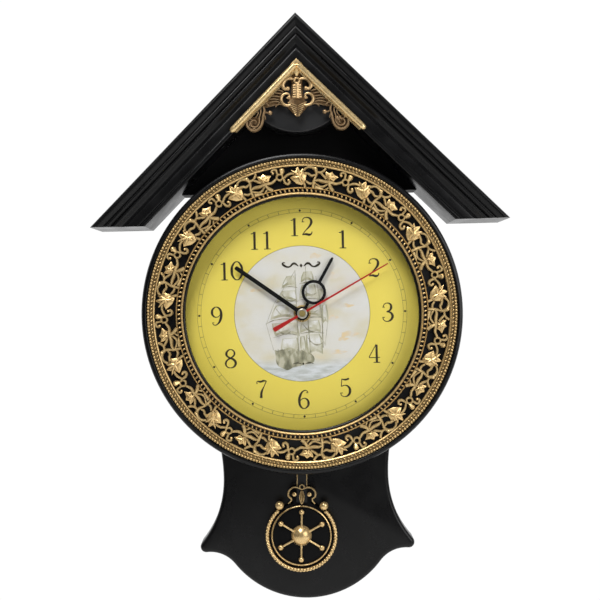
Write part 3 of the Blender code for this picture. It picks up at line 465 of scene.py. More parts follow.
for side in (-1, 1):
    for ribs in (
        [(11.4, 188.0), (15.0, 189.2), (21.4, 188.7)],
        [(12.8, 186.2), (17.5, 186.9), (24.2, 186.4)],
        [(14.4, 183.8), (19.5, 184.3), (26.2, 183.6)],
        [(14.6, 181.0), (20.0, 182.0), (26.8, 180.9)],
        [(13.4, 178.2), (18.4, 180.0), (24.2, 178.6)],
        [(12.2, 176.8), (15.6, 177.6), (18.6, 175.4)],
    ):
        rod(wings, sided(side, ribs), [0.5, 0.85, 0.4], scroll_level - 0.4 * MM, 1.7)
    for k in range(3):
        barb = [(24.0 + k * 2.2, 176.2 + k * 1.7), (27.2 + k * 2.0, 179.6 + k * 0.4 - k * 1.5)]
        rod(wings, sided(side, barb), [0.75, 0.75], wing_level, 1.7)
    rod(wings, sided(side, outer_tail), outer_radii, wing_level, 1.6)
    rod(wings, sided(side, inner_tail), inner_radii, wing_level, 1.6)
    rod(wings, sided(side, [(33.6, 173.4), (33.4, 169.6), (35.6, 166.6)]), [0.4, 0.75, 0.5], wing_level, 1.6)
    rod(wings, sided(side, [(28.0, 171.0), (25.6, 170.6), (23.4, 170.2)]), [0.9, 0.8, 0.7], wing_level, 1.6)
    rod(wings, sided(side, [(28.6, 169.2), (27.6, 166.8), (27.2, 164.8)]), [0.9, 0.8, 0.3], wing_level, 1.6)
    ball(wings, side * 23.1, 170.3, 2.0, scroll_level - 0.2 * MM, 1.0)
    leaf(wings, sided(side, web if side > 0 else web[::-1]), ornament_ground, 1.6 * MM, 0.2 * MM)
    pad = sided(side, arc((36.2, 162.2), 5.6, 0, 2 * pi, 16)[:-1])
    leaf(wings, pad, ornament_ground, 1.7 * MM, 0.3 * MM)
middle = mirrored(
    [(0, 205.8), (6.4, 203.0), (4.6, 198.0), (5.2, 184.0), (9.0, 176.2), (3.6, 170.0), (0, 167.0)]
)
leaf(wings, middle, ornament_ground, 1.2 * MM, 0.2 * MM)
seated("gable_ornament_scrolls", wings, antique_gold, ["gable_ornament"])


# Round case: a shallow black drum, open in the middle of its back for the battery, with the shelf that the
# bezel covers. A pressed steel hanger with a keyhole slot is screwed inside its top, and pan-head screws hold
# the boards.
def spun(profile, steps=128, closed=True):
    """A round piece: a profile of (radius, depth) in millimetres turned about the dial's axis."""
    shape = bmesh.new()
    corners = [shape.verts.new((radius * MM, 0, depth * MM)) for radius, depth in profile]
    sides = [shape.edges.new(pair) for pair in zip(corners, corners[1:] + (corners[:1] if closed else []))]
    bmesh.ops.spin(shape, geom=corners + sides, axis=(0, 0, 1), angle=2 * pi, steps=steps, use_merge=True)
    bmesh.ops.remove_doubles(shape, verts=shape.verts, dist=0.000002)
    return shape


def soft_corners(profile, size):
    """The same profile with each corner rounded off."""
    rounded = []
    for k in range(len(profile)):
        here = Vector(profile[k])
        back, ahead = Vector(profile[k - 1]) - here, Vector(profile[(k + 1) % len(profile)]) - here
        reach = min(size, back.length * 0.45, ahead.length * 0.45)
        start, end = here + back.normalized() * reach, here + ahead.normalized() * reach
        rounded += [start, (start + end) / 4 + here / 2, end]
    return rounded


def box_between(low, high):
    """A block between two corners in millimetres."""
    shape = bmesh.new()
    bmesh.ops.create_cube(shape, size=MM)
    bmesh.ops.scale(shape, vec=Vector(high) - Vector(low), verts=shape.verts)
    bmesh.ops.translate(shape, vec=(Vector(high) + Vector(low)) / 2 * MM, verts=shape.verts)
    return shape


drum_profile = [
    (131, 34.8), (131, 32.3), (121.7, 32.3), (121.7, 0), (48, 0), (48, 2.5), (119.2, 2.5), (119.2, 32.3),
    (98, 32.3), (98, 34.8)
]
keyhole = arc((0, 104 * MM), 3.5 * MM, 0, pi, 12) + arc((0, 95 * MM), 6 * MM, pi, 2 * pi, 20)
pendulum_slot = box_between((-17.5, -126, 23.5), (17.5, -112, 31.5))
drum = carved(spun(soft_corners(drum_profile, 0.5)), slab(keyhole, -0.003, 0.005), pendulum_slot)
seated("clock_drum", drum, black_plastic, ["round_case"])

zinc = new_finish("zinc_plate", (0.56, 0.57, 0.60), 0.34, 1.0)
uneven_sheen(zinc, 0.26, 0.46, 400.0)
grained(zinc, 2500.0, 0.20)
fixings = ["hanger_plate"]
fixings += [f"{kind}_screw_{k}" for kind in ("hanger", "gable", "board", "roof") for k in (1, 2)]
fixings += [f"bezel_screw_{k}" for k in (1, 2, 3, 4)]
for fixing in fixings:
    dressed(fixing, zinc)


# Movement: a black two-part case with the battery bay at its top, the step motor and gear train inside it, a
# drive coil for the pendulum, and a setting knob at the back. The white wheels are moulded nylon on their own
# arbors.
movement_black = moulded("movement_black", (0.022, 0.022, 0.024), 0.48, 1200.0, 0.4)
nylon = moulded("nylon", (0.80, 0.80, 0.75), 0.42, 2500.0, 0.1)
nylon.node_tree.nodes["Principled BSDF"].inputs["Subsurface Weight"].default_value = 0.08
brass = new_finish("turned_brass", (0.74, 0.52, 0.20), 0.34, 0.6)
uneven_sheen(brass, 0.20, 0.38, 900.0)
grained(brass, 900.0, 0.25, 0.00003, (1, 8, 1))
copper = new_finish("enamelled_wire", (0.58, 0.24, 0.10), 0.34, 1.0)
uneven_sheen(copper, 0.26, 0.45, 500.0)
grained(copper, 700.0, 0.7, 0.0001, (1, 1, 9))
green_lacquer = moulded("board_lacquer", (0.025, 0.16, 0.06), 0.40, 900.0, 0.15)
magnet_black = new_finish("sintered_magnet", (0.07, 0.07, 0.075), 0.45, 0.8)
grained(magnet_black, 1800.0, 0.5)
rubber = moulded("rubber", (0.016, 0.016, 0.016), 0.80, 1500.0, 0.4)
dressed("movement_front_shell", movement_black)
dressed("setting_knob", movement_black)
for wheel in (
    "intermediate_wheel", "second_wheel", "third_wheel", "motion_wheel", "hour_wheel", "pendulum_arm"
):
    dressed(wheel, nylon)
for part in ("centre_wheel", "cannon_pinion"):
    dressed(part, brass)
for part in ("motor_coil", "drive_coil"):
    dressed(part, copper)
for part in (
    "stator", "quartz_crystal", "battery_contact_plus", "battery_contact_minus", "pendulum_pin",
    "pendulum_magnet"
):
    dressed(part, zinc)
dressed("circuit_board", green_lacquer)
dressed("rotor", magnet_black)
dressed("rubber_washer", rubber)
dressed("movement_rear_shell", movement_black)

# Battery: a plain dark sleeved round cell, laid across the case between its two contacts, with a nub at one
# end. It slides out of the bay at the back on its own.
sleeve = new_finish("cell_sleeve", (0.06, 0.07, 0.10), 0.30, 0.3)
uneven_sheen(sleeve, 0.24, 0.38, 120.0)
grained(sleeve, 600.0, 0.15)
cell_low, cell_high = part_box("battery")
half_cell = (cell_high.x - cell_low.x) / 2 / MM
cell_radius = (cell_high.z - cell_low.z) / 2 / MM
nub = [
    (0, half_cell), (2.4, half_cell), (2.6, half_cell - 0.25), (2.6, half_cell - 1.0),
    (cell_radius - 0.9, half_cell - 1.0)
]
can = [(cell_radius - 0.2, half_cell - 1.3), (cell_radius, half_cell - 1.9), (cell_radius, 1.9 - half_cell)]
foot = [(cell_radius - 0.2, 1.2 - half_cell), (cell_radius - 1.4, 0.3 - half_cell), (0, -half_cell + 0.1)]
cell = spun(nub + can + foot, 40, False)
lay = Matrix.Translation((cell_low + cell_high) / 2) @ Matrix.Rotation(pi / 2, 4, "Y")
seated("battery_cell", cell, sleeve, ["battery"], "battery", where=lay)


# Lower board: a flat black panel on the wall, a waist flaring to two horns over a round belly, with a rolled
# front edge. It is hollow from behind. Its outline is a chain of arcs that touch each other.
def touching(first, first_radius, second, second_radius):
    """The lower centre of a circle that lies first_radius from one point and second_radius from another."""
    across, rise = second[0] - first[0], second[1] - first[1]
    distance = hypot(across, rise)
    along = (distance**2 + first_radius**2 - second_radius**2) / (2 * distance)
    turn = atan2(rise, across) - acos(along / first_radius)
    return first[0] + first_radius * cos(turn), first[1] + first_radius * sin(turn)


def heading(start, end):
    """The direction from one point to another."""
    return atan2(end[1] - start[1], end[0] - start[0])


def board_outline(inset):
    """Shoulder, waist, flare, horn, fillet and belly, drawn in millimetres; an inset changes the radii."""
    inset /= MM
    drum, waist = 122.3 + inset, -143
    flare, shoulder, belly = (162.5, waist), (229.5, waist), (0, -169.3)
    horn = (89.2, waist - sqrt(95.0**2 - (162.5 - 89.2) ** 2))
    fillet = touching(belly, 81.2 + 28, horn, 5 + 28)
    corner_angle = pi - 50 / (157 + inset)
    corner = arc(shoulder, 157 + inset, corner_angle, corner_angle, 1)[0]
    top = heading((0, 0), (corner[0], -sqrt(drum**2 - corner[0] ** 2)))
    flare_end = heading(flare, horn) + 2 * pi
    belly_end = heading(belly, fillet)
    points = arc((0, 0), drum, -pi / 2, top, 24)
    points += arc(shoulder, 157 + inset, corner_angle, pi, 10)[1:]
    points += arc(flare, 90 + inset, pi, flare_end, 24)[1:]
    points += arc(horn, 5 - inset, flare_end - pi, heading(horn, fillet), 14)[1:]
    points += arc(fillet, 28 + inset, heading(horn, fillet) + pi, belly_end + pi, 14)[1:]
    points += arc(belly, 81.2 - inset, belly_end, -pi / 2, 28)[1:]
    return mirrored([(x * MM, y * MM) for x, y in points])


board_front = depths("lower_board")[1]
board = lofted(board_outline, hollow_levels(0, board_front, WALL, 3.6 * MM))
seated("flared_board", board, black_plastic, ["lower_board"], crease=30)


# Bezel: the black front frame, a round moulding with a rolled outer edge, a sunk floor for the gilt ring and a
# lip that holds the glass. It is notched behind for the pendulum and screwed on through four bosses.
bezel_profile = [
    (133.6, 51.5), (135.8, 50.9), (137, 48.6), (137, 24.3), (134, 24.3), (134, 45.9), (106, 45.9), (106, 35.1),
    (103.6, 35.1), (103.6, 45.8)
]
bezel_profile += [
    (99.4, 45.8), (99.4, 50.0), (100.1, 50.6), (101.0, 50.8), (101.2, 48.3), (132.3, 48.3), (132.5, 50.9)
]
bezel = carved(spun(soft_corners(bezel_profile, 0.45), 160), box_between((-17.5, -140, 20), (17.5, -130, 32)))
for x, y in arc((0, 0), 127.0, pi / 4, 7 * pi / 4, 3):
    post = Matrix.Translation((x * MM, y * MM, 40.4 * MM))
    bmesh.ops.create_cone(
        bezel, cap_ends=True, segments=20, radius1=4 * MM, radius2=4 * MM, depth=11 * MM, matrix=post
    )
seated("bezel_frame", bezel, black_plastic, ["bezel"])


# Gilt vine ring: one thin openwork moulding laid on the bezel's floor. An outer band of rope between beads and
# a ridge, a vine that repeats thirteen times with a large and a small leaf, and an inner band of fine beads.
# Both gilts go dark in their recesses: a painted shade, which also stands for antique toning.
ring_gold = gilded("vine_gilt", (0.84, 0.60, 0.27), (0.10, 0.048, 0.014), 0.30, 0.0020)
band_gold = gilded("band_gilt", (0.66, 0.46, 0.20), (0.040, 0.020, 0.007), 0.32, 0.0019)
ring_back = depths("filigree_ring")[0] / MM

outer_band = [
    (132.0, ring_back), (132.0, 50.6), (131.6, 51.8), (129.9, 51.4), (129.7, 50.4), (127.4, 50.3),
    (127.1, 51.1), (126.4, 51.6), (125.7, 51.1), (125.5, ring_back)
]
bands = spun(outer_band, 180)
inner_ring = spun([(107.6, ring_back), (107.6, 50.2), (107.1, 50.8), (106.6, 50.2), (106.6, ring_back)], 180)
ridge = [(103.4, 50.4), (102.9, 51.4), (102.3, 51.8), (101.7, 51.4), (101.3, 50.4)]
added(inner_ring, spun([(103.4, ring_back)] + ridge + [(101.3, ring_back)], 180))
for reach, count, size, depth, lean, band in (
    (130.8, 312, (1.2, 1.2, 1.3), 51.5, 0, bands),
    (128.5, 240, (1.5, 0.8, 0.9), 50.6, 35, bands),
    (105.0, 175, (1.9, 0.8, 0.8), 49.5, 12, inner_ring),
):
    beads = bmesh.new()
    place = Matrix.Translation((reach * MM, 0, depth * MM)) @ Matrix.Rotation(radians(lean), 4, "Z")
    place = place @ Matrix.Diagonal((*size, 1))
    bmesh.ops.create_uvsphere(beads, u_segments=8, v_segments=5, radius=MM, matrix=place)
    bead = beads.verts[:] + beads.edges[:] + beads.faces[:]
    copies = count - 1
    sweep = 2 * pi / count * copies
    bmesh.ops.spin(beads, geom=bead, axis=(0, 0, 1), angle=sweep, steps=copies, use_duplicate=True)
    added(band, beads)
seated("outer_band", bands, band_gold, ())
seated("inner_band", inner_ring, band_gold, ())

vine = bmesh.new()
vine_depth = 49.7 * MM
rod(vine, [(2.55, 0.9), (0, 3.45), (-2.55, 0.9), (0, -1.65)], 0.95, vine_depth, 1.9, 5, 1, True)
for points, radii in (
    (
        [(-1.25, 2.8), (-1.6, 5.9), (-2.2, 7.8), (-4.1, 8.1), (-5.5, 6.9), (-5.0, 5.3)],
        [0.85, 0.9, 0.95, 0.95, 0.9, 0.8]
    ),
    ([(1.9, 2.8), (2.3, 4.4), (2.6, 6.2)], [0.9, 1.5, 2.0]),
    (
        [(3.1, 0.9), (3.4, -2.2), (4.4, -4.7), (6.3, -5.6), (8.0, -4.1), (7.2, -2.5)],
        [0.85, 0.95, 1.05, 1.05, 1.0, 0.9]
    ),
    ([(-2.5, 0.3), (-5.0, -1.25), (-7.5, -2.5), (-10.6, -2.5), (-13.8, -2.2)], [0.85, 0.9, 1.0, 1.2, 1.3]),
    ([(3.4, -0.3), (5.6, 1.4), (8.8, 2.8), (12.5, 2.8)], [0.8, 0.85, 0.9, 0.9]),
    ([(20.3, 5.3), (22.5, 7.7), (25.7, 8.4), (28.8, 7.5)], [0.8, 0.85, 0.9, 1.2]),
    ([(21.3, 2.8), (24.4, 2.5), (26.9, 1.1), (30.0, 1.9)], [1.0, 0.95, 0.9, 0.85]),
    (
        [(29.9, 6.9), (31.0, 3.8), (30.4, 0.3), (29.5, -3.4), (29.3, -7.2), (29.4, -9.4)],
        [1.3, 1.1, 0.95, 1.05, 1.3, 1.3]
    ),
    ([(31.0, 4.4), (34.4, 4.6), (36.6, 6.3), (37.7, 8.2)], [0.9, 0.9, 0.9, 0.85]),
    ([(34.4, 4.4), (37.2, 1.9), (39.8, -0.3)], [0.85, 0.9, 0.9]),
    ([(29.5, -3.1), (33.2, -2.3), (37.6, -2.8), (43.2, -2.5), (48.2, -2.7)], [1.0, 1.1, 1.3, 1.4, 1.0]),
    ([(29.7, -4.4), (33.2, -6.6), (36.9, -7.5), (40.4, -5.6), (42.6, -3.1)], [0.9, 0.9, 0.9, 0.95, 1.0]),
    ([(42.9, -3.4), (44.8, -6.6), (48.0, -9.3)], [1.3, 1.6, 1.4]),
    ([(43.2, -7.2), (41.0, -9.3)], [0.9, 0.8]),
    ([(21.0, -5.3), (21.9, -9.3)], [1.0, 1.1]),
    ([(22.5, -3.8), (25.7, -5.6), (28.8, -5.6)], [0.9, 0.9, 0.9]),
    ([(31.0, -8.4), (35.0, -8.9), (38.6, -9.3)], [1.5, 1.1, 0.7]),
):
    rod(vine, points, [radius * 1.25 for radius in radii], vine_depth, 1.45, 4, 1)
for x, y, size in ((-4.9, 5.3, 1.15), (2.6, 6.4, 2.2), (7.3, -2.7, 1.25), (29.7, 7.3, 1.7), (37.7, 8.2, 1.0)):
    ball(vine, x, y, size, vine_depth + 0.2 * MM, 1.25, 10, 6)
large = [
    (10.0, 6.3), (13.4, 4.8), (15.4, 9.2), (17.5, 5.0), (19.8, 7.4), (20.9, 4.2), (23.6, 3.7), (22.4, -0.3),
    (22.2, -4.9), (19.0, -7.2), (13.9, -5.7), (8.6, -0.5), (12.2, 1.8)
]
small = [
    (38.2, 6.4), (41.2, 5.2), (43.4, 7.0), (45.4, 4.9), (49.8, 3.6), (47.2, 1.0), (46.4, -1.6), (42.3, -2.8),
    (39.2, -0.5)
]
fan = [(30.0, -5.3), (35.7, -7.4), (38.8, -9.6), (33.8, -9.7), (28.8, -9.7)]
for outline, edge, crown in ((large, 1.0, 0.7), (small, 1.0, 0.6), (fan, 1.2, 0.2)):
    leaf(vine, outline[::-1], ring_back * MM, edge * MM, crown * MM)
large_veins = ([(17.0, 0.4), (14.0, 3.0), (11.6, 4.8)], [(17.0, 0.6), (16.4, 4.2), (15.8, 7.4)])
large_veins += ([(17.4, 0.4), (18.6, 3.2), (19.0, 5.4)], [(17.2, 0.2), (19.4, -2.2), (20.6, -3.6)])
large_veins += ([(16.8, 0.0), (17.6, -3.2), (18.2, -5.4)], [(16.6, 0.2), (13.6, -0.4), (11.0, -0.4)])
small_veins = ([(42.4, 1.8), (40.8, 3.6), (39.6, 5.0)], [(42.6, 2.0), (43.0, 3.8), (43.2, 5.0)])
small_veins += ([(42.8, 1.8), (45.6, 2.6), (48.0, 3.0)], [(42.6, 1.6), (44.4, 0.4), (45.6, -0.6)])
small_veins += ([(42.4, 1.6), (42.3, 0.0), (42.3, -1.8)],)
for veins, radii in ((large_veins, [1.3, 1.05, 0.5]), (small_veins, [1.1, 0.9, 0.45])):
    for vein in veins:
        rod(vine, vein, radii, vine_depth + 0.4 * MM, 1.15, 3, 2)

vine_mesh = bpy.data.meshes.new("vine")
vine.to_mesh(vine_mesh)
vine.free()
REPEATS = 13
VINE_RADIUS = 116.5 * MM
FIRST_LOOP = radians(98.1)
vines = bmesh.new()
for k in range(REPEATS):
    start = len(vines.verts)
    vines.from_mesh(vine_mesh)
    vines.verts.ensure_lookup_table()
    for point in vines.verts[start:]:
        turn = FIRST_LOOP - 2 * pi * k / REPEATS - point.co.x / VINE_RADIUS
        reach = VINE_RADIUS + point.co.y
        point.co = (reach * cos(turn), reach * sin(turn), point.co.z)
seated("vine_scrolls", vines, ring_gold, ["filigree_ring"], crease=50)


# Dial: a satin yellow card with a pale round picture of a sailing ship in thin washes, printed in one piece.
# The minute track is two fine circles with a tick between them for each minute and a dot for each hour.
dial_back, dial_front = depths("dial")
card_yellow = new_finish("dial_card", (0.90, 0.74, 0.122), 0.46)
clouded(card_yellow, 14.0, (0.3, (0.88, 0.72, 0.112)), (0.7, (0.93, 0.77, 0.134)))
uneven_sheen(card_yellow, 0.40, 0.52, 40.0)
grained(card_yellow, 1500.0, 0.10)
card = [(4.3, dial_front / MM), (103.2, dial_front / MM), (103.2, dial_back / MM), (4.3, dial_back / MM)]
dial_face = seated("dial_face", spun(soft_corners(card, 0.1), 160), card_yellow, ["dial"])
card_back = new_finish("card_back", (0.62, 0.61, 0.57), 0.7)
clouded(card_back, 240.0, (0.3, (0.56, 0.55, 0.51)), (0.7, (0.66, 0.65, 0.61)))
grained(card_back, 1500.0, 0.3)
dial_face.data.materials.append(card_back)
for side in dial_face.data.polygons:
    side.material_index = int(side.normal.y > 0.5)

picture_wash = new_finish("picture_wash", (0.68, 0.66, 0.60), 0.46)
sky_tones = (
    (0.34, (0.79, 0.79, 0.76)), (0.52, (0.77, 0.75, 0.67)), (0.64, (0.74, 0.69, 0.52)),
    (0.78, (0.82, 0.66, 0.38))
)
sea_tones = ((0.35, (0.74, 0.77, 0.78)), (0.55, (0.60, 0.63, 0.61)), (0.7, (0.48, 0.50, 0.46)))
sky = ramped(picture_wash, noise(picture_wash, 26.0, 4.0, (1, 1, 1.6)), *sky_tones)
sea = ramped(picture_wash, noise(picture_wash, 90.0, 4.0, (1, 1, 4)), *sea_tones)
# The sky's wash gives way to the water's across the horizon.
wash_nodes, wash_links = picture_wash.node_tree.nodes, picture_wash.node_tree.links
height = wash_nodes.new("ShaderNodeSeparateXYZ")
wash_links.new(wash_nodes["Texture Coordinate"].outputs["Object"], height.inputs["Vector"])
shore = wash_nodes.new("ShaderNodeMapRange")
shore.inputs["From Min"].default_value = HUB_HEIGHT - 0.038
shore.inputs["From Max"].default_value = HUB_HEIGHT - 0.046
shore.inputs["To Min"].default_value = 0.0
shore.inputs["To Max"].default_value = 1.0
wash = wash_nodes.new("ShaderNodeMix")
wash.data_type = "RGBA"
wash_links.new(height.outputs["Z"], shore.inputs["Value"])
wash_links.new(shore.outputs["Result"], wash.inputs["Factor"])
wash_links.new(sky, wash.inputs["A"])
wash_links.new(sea, wash.inputs["B"])
feed(picture_wash, "Base Color", wash.outputs["Result"])
PRINT = 0.03
face_level = dial_front / MM
picture_top, picture_foot = face_level + PRINT, face_level - 0.2
picture_profile = [(4.3, picture_top), (58.5, picture_top), (58.5, picture_foot), (4.3, picture_foot)]
seated("dial_picture", spun(picture_profile, 128), picture_wash)

# The ship: three masts of square sails, each a shaded patch with a lighter one on it, over a broken hull with
# its ribs, yards and stays. Every patch lies on a level of its own, a hair above the last.
ship_level = dial_front + 0.06 * MM
LAYER = 0.004


def printed(shape, outline, level):
    """Adds a printed patch, its outline and its height over the ship's level in millimetres."""
    face = shape.faces.new([shape.verts.new((x * MM, y * MM, ship_level + level * MM)) for x, y in outline])
    bmesh.ops.extrude_face_region(shape, geom=[face])
    bmesh.ops.translate(shape, vec=(0, 0, -PRINT * MM), verts=list(face.verts))


def sail(shape, head, foot, top, bottom, belly, level, inset=0.0):
    """Adds a square sail between the ends of its head and its foot, its foot cut in a curve."""
    left, right = head[0] + inset, head[1] - inset
    low_left, low_right = foot[0] + inset, foot[1] - inset
    top, bottom = top - inset * 0.3, bottom + inset * 2.2
    middle = (top + bottom) / 2
    luff = eased([(right, top + 0.6), ((right + low_right) / 2 + belly, middle), (low_right, bottom)], 4)
    hem = eased([(low_right, bottom), ((low_left + low_right) / 2, bottom + 2.6), (low_left, bottom)], 4)
    leech = eased([(low_left, bottom), ((left + low_left) / 2 - belly, middle), (left, top)], 4)
    outline = [(left, top)] + [tuple(point) for point in luff[:-1] + hem[:-1] + leech[:-1]]
    printed(shape, outline[::-1], level)


sail_shade = new_finish("sail_shade", (0.46, 0.45, 0.31), 0.46)
shade_tones = ((0.36, (0.40, 0.39, 0.25)), (0.5, (0.55, 0.53, 0.38)), (0.64, (0.68, 0.66, 0.54)))
clouded(sail_shade, 130.0, *shade_tones, detail=4.0, stretch=(1, 1, 0.5))
sail_light = new_finish("sail_light", (0.76, 0.75, 0.68), 0.46)
light_tones = ((0.40, (0.60, 0.58, 0.44)), (0.52, (0.72, 0.71, 0.62)), (0.62, (0.82, 0.82, 0.79)))
clouded(sail_light, 140.0, *light_tones, detail=4.0, stretch=(1, 1, 0.6))
hull_wash = new_finish("hull_wash", (0.32, 0.31, 0.20), 0.46)
hull_tones = ((0.36, (0.17, 0.17, 0.11)), (0.50, (0.34, 0.33, 0.22)), (0.62, (0.58, 0.56, 0.42)))
clouded(hull_wash, 190.0, *hull_tones, detail=4.0, stretch=(1, 1, 0.5))
rigging = new_finish("rigging_wash", (0.40, 0.39, 0.27), 0.46)
clouded(rigging, 260.0, (0.36, (0.28, 0.27, 0.18)), (0.64, (0.56, 0.54, 0.42)))
shaded_sails = bmesh.new()
lit_sails = bmesh.new()
for k, (head, foot, top, bottom) in enumerate((
    ((-12.9, -6.2), (-17.2, -4.4), 32.4, 22.2),
    ((-16.8, -5.6), (-21.8, -4.0), 19.8, 10.2),
    ((-22.6, -5.4), (-27.6, -3.8), 7.4, -5.0),
    ((-26.4, -5.2), (-23.6, -2.6), -8.0, -19.0),
    ((-17.6, -4.4), (-19.0, -3.8), -21.4, -34.0),
    ((1.8, 9.0), (-0.6, 10.6), 36.0, 26.6),
    ((0.2, 11.6), (-2.2, 12.6), 24.4, 12.4),
    ((1.8, 15.4), (1.2, 16.2), 9.6, -3.6),
    ((-0.4, 14.4), (-2.2, 15.8), -6.6, -16.8),
    ((3.0, 15.0), (4.0, 17.2), -18.4, -35.4),
    ((13.4, 17.8), (13.6, 19.6), 20.4, 10.4),
    ((17.2, 21.2), (17.6, 22.4), 6.8, -9.4),
    ((-2.2, 1.6), (-1.8, 3.0), -20.0, -35.0),
)):
    sail(shaded_sails, head, foot, top, bottom, 0.7, LAYER * k)
    sail(lit_sails, head, foot, top, bottom, 0.5, 0.052 + LAYER * k, 1.1)
seated("sail_shadows", shaded_sails, sail_shade)
seated("sail_lights", lit_sails, sail_light)

hull = bmesh.new()
line_level = ship_level + 0.13 * MM
rail = [
    (-24.6, -30.8), (-21.8, -31.6), (-17.4, -30.6), (-12.6, -31.8), (-8.2, -30.8), (-4.6, -32.8), (-1.2, -31.4)
]
stern = [(2.4, -33.6), (6.0, -34.0), (9.4, -37.8), (9.4, -41.6), (5.4, -43.6), (0.6, -44.2), (-4.2, -45.6)]
stem = [
    (-8.4, -46.2), (-11.6, -48.0), (-14.4, -48.6), (-18.2, -46.8), (-21.4, -45.0), (-23.4, -41.6),
    (-23.6, -37.0)
]
printed(hull, [tuple(point) for point in eased(rail + stern + stem, 3)][::-1], 0.11)
for k in range(5):
    ribs = [(-21.6 + k * 5.6, -30.4), (-19.6 + k * 5.4, -38.0), (-17.8 + k * 5.0, -46.4)]
    rod(hull, ribs, [0.2, 0.6, 0.15], line_level, 0.06, 3, 1)
seated("ship_hull", hull, hull_wash)

lines = bmesh.new()
for mast in (
    [(-3.6, -34.0), (-4.6, 0.0), (-5.4, 37.8)],
    [(6.6, -34.0), (4.6, 0.0), (3.6, 43.2)],
    [(17.2, -30.0), (16.8, 0.0), (12.4, 32.0)],
):
    rod(lines, mast, [0.6, 0.45, 0.2], line_level, 0.06, 3, 1)
for yard in (
    [(-17.8, 22.2), (-11.0, 23.6), (-3.6, 22.4)],
    [(-22.6, 9.8), (-14.0, 11.6), (-3.2, 10.6)],
    [(-31.6, -8.4), (-24.0, -5.2), (-2.6, -4.6)],
    [(-25.4, -20.4), (-12.0, -17.2), (-2.2, -19.4)],
    [(-2.0, 25.6), (5.0, 27.0), (11.8, 26.2)],
    [(-3.4, 11.4), (6.0, 13.0), (16.2, 12.0)],
    [(0.0, -4.6), (10.0, -3.2), (20.4, -4.0)],
    [(-3.4, -17.6), (7.0, -16.2), (18.4, -17.4)],
    [(14.6, -18.8), (17.0, -23.2), (19.4, -27.4)],
):
    rod(lines, yard, [0.2, 0.5, 0.2], line_level, 0.08, 3, 1)
for stay in (
    [(-25.4, -31.0), (-31.2, -8.6)],
    [(-31.2, -8.6), (-24.0, 9.2)],
    [(-24.0, 9.2), (-5.4, 37.0)],
    [(19.2, -28.0), (22.0, -6.8)],
):
    rod(lines, stay, 0.18, line_level, 0.15, 1, 1)
for left, top in (
    (-22.6, 4.6), (-17.4, 17.4), (1.2, 7.4), (-23.2, -11.0), (0.4, -9.2), (4.4, -21.0), (0.6, 22.4)
):
    fold = [(left, top), (left + 4.6, top - 5.2), (left + 8.8, top - 6.4), (left + 13.0, top - 4.4)]
    rod(lines, fold, [0.2, 0.5, 0.7, 0.2], line_level, 0.06, 4, 1)
seated("ship_rigging", lines, rigging)

warm_wash = new_finish("warm_wash", (0.80, 0.66, 0.42), 0.46)
clouded(warm_wash, 120.0, (0.4, (0.76, 0.72, 0.63)), (0.6, (0.82, 0.66, 0.40)))
clouds = bmesh.new()
for k, (x, y, reach, rise) in enumerate((
    (40.0, -18.6, 7.6, 2.4), (34.6, -22.6, 4.4, 1.6), (12.0, 49.6, 5.0, 2.2), (27.0, 32.0, 6.0, 2.6),
    (26.4, -4.0, 4.2, 1.8), (37.5, 6.0, 6.4, 1.6), (-40.0, 21.0, 5.4, 1.5), (30.0, -34.0, 7.0, 1.8),
)):
    edge = []
    for turn in (step * pi / 14 for step in range(28)):
        across = reach * (1 + 0.22 * cos(3 * turn)) * cos(turn)
        up = rise * (1 + 0.3 * sin(5 * turn)) * sin(turn)
        edge.append((x + across, y + up))
    printed(clouds, edge, LAYER * k)
seated("warm_clouds", clouds, warm_wash)

# The minute track and the dots of the hours are printed in thin brown-black ink.
ink = new_finish("printing_ink", (0.030, 0.024, 0.012), 0.42)
clouded(ink, 200.0, (0.3, (0.022, 0.017, 0.008)), (0.7, (0.045, 0.036, 0.018)))
fine_ink = new_finish("fine_line_ink", (0.16, 0.13, 0.05), 0.45)
clouded(fine_ink, 300.0, (0.3, (0.13, 0.105, 0.04)), (0.7, (0.20, 0.16, 0.06)))
ink_top, ink_foot = face_level + 0.05, face_level - 0.05
ink_level = dial_front + PRINT * MM
track = bmesh.new()
for inner, outer in ((90.38, 90.62), (87.28, 87.52), (58.4, 58.75)):
    added(track, spun([(outer, ink_top), (outer, ink_foot), (inner, ink_foot), (inner, ink_top)], 160))
for minute in range(60):
    turn = 2 * pi * minute / 60
    ends = [(87.4 * cos(turn), 87.4 * sin(turn)), (90.5 * cos(turn), 90.5 * sin(turn))]
    rod(track, ends, 0.18, ink_level, 0.12, 1, 1)
seated("minute_track", track, fine_ink)

dots = bmesh.new()
for hour in range(12):
    turn = 2 * pi * hour / 12
    ball(dots, 88.95 * cos(turn), 88.95 * sin(turn), 0.95, ink_level, 0.05, 16, 6)
seated("hour_dots", dots, ink)

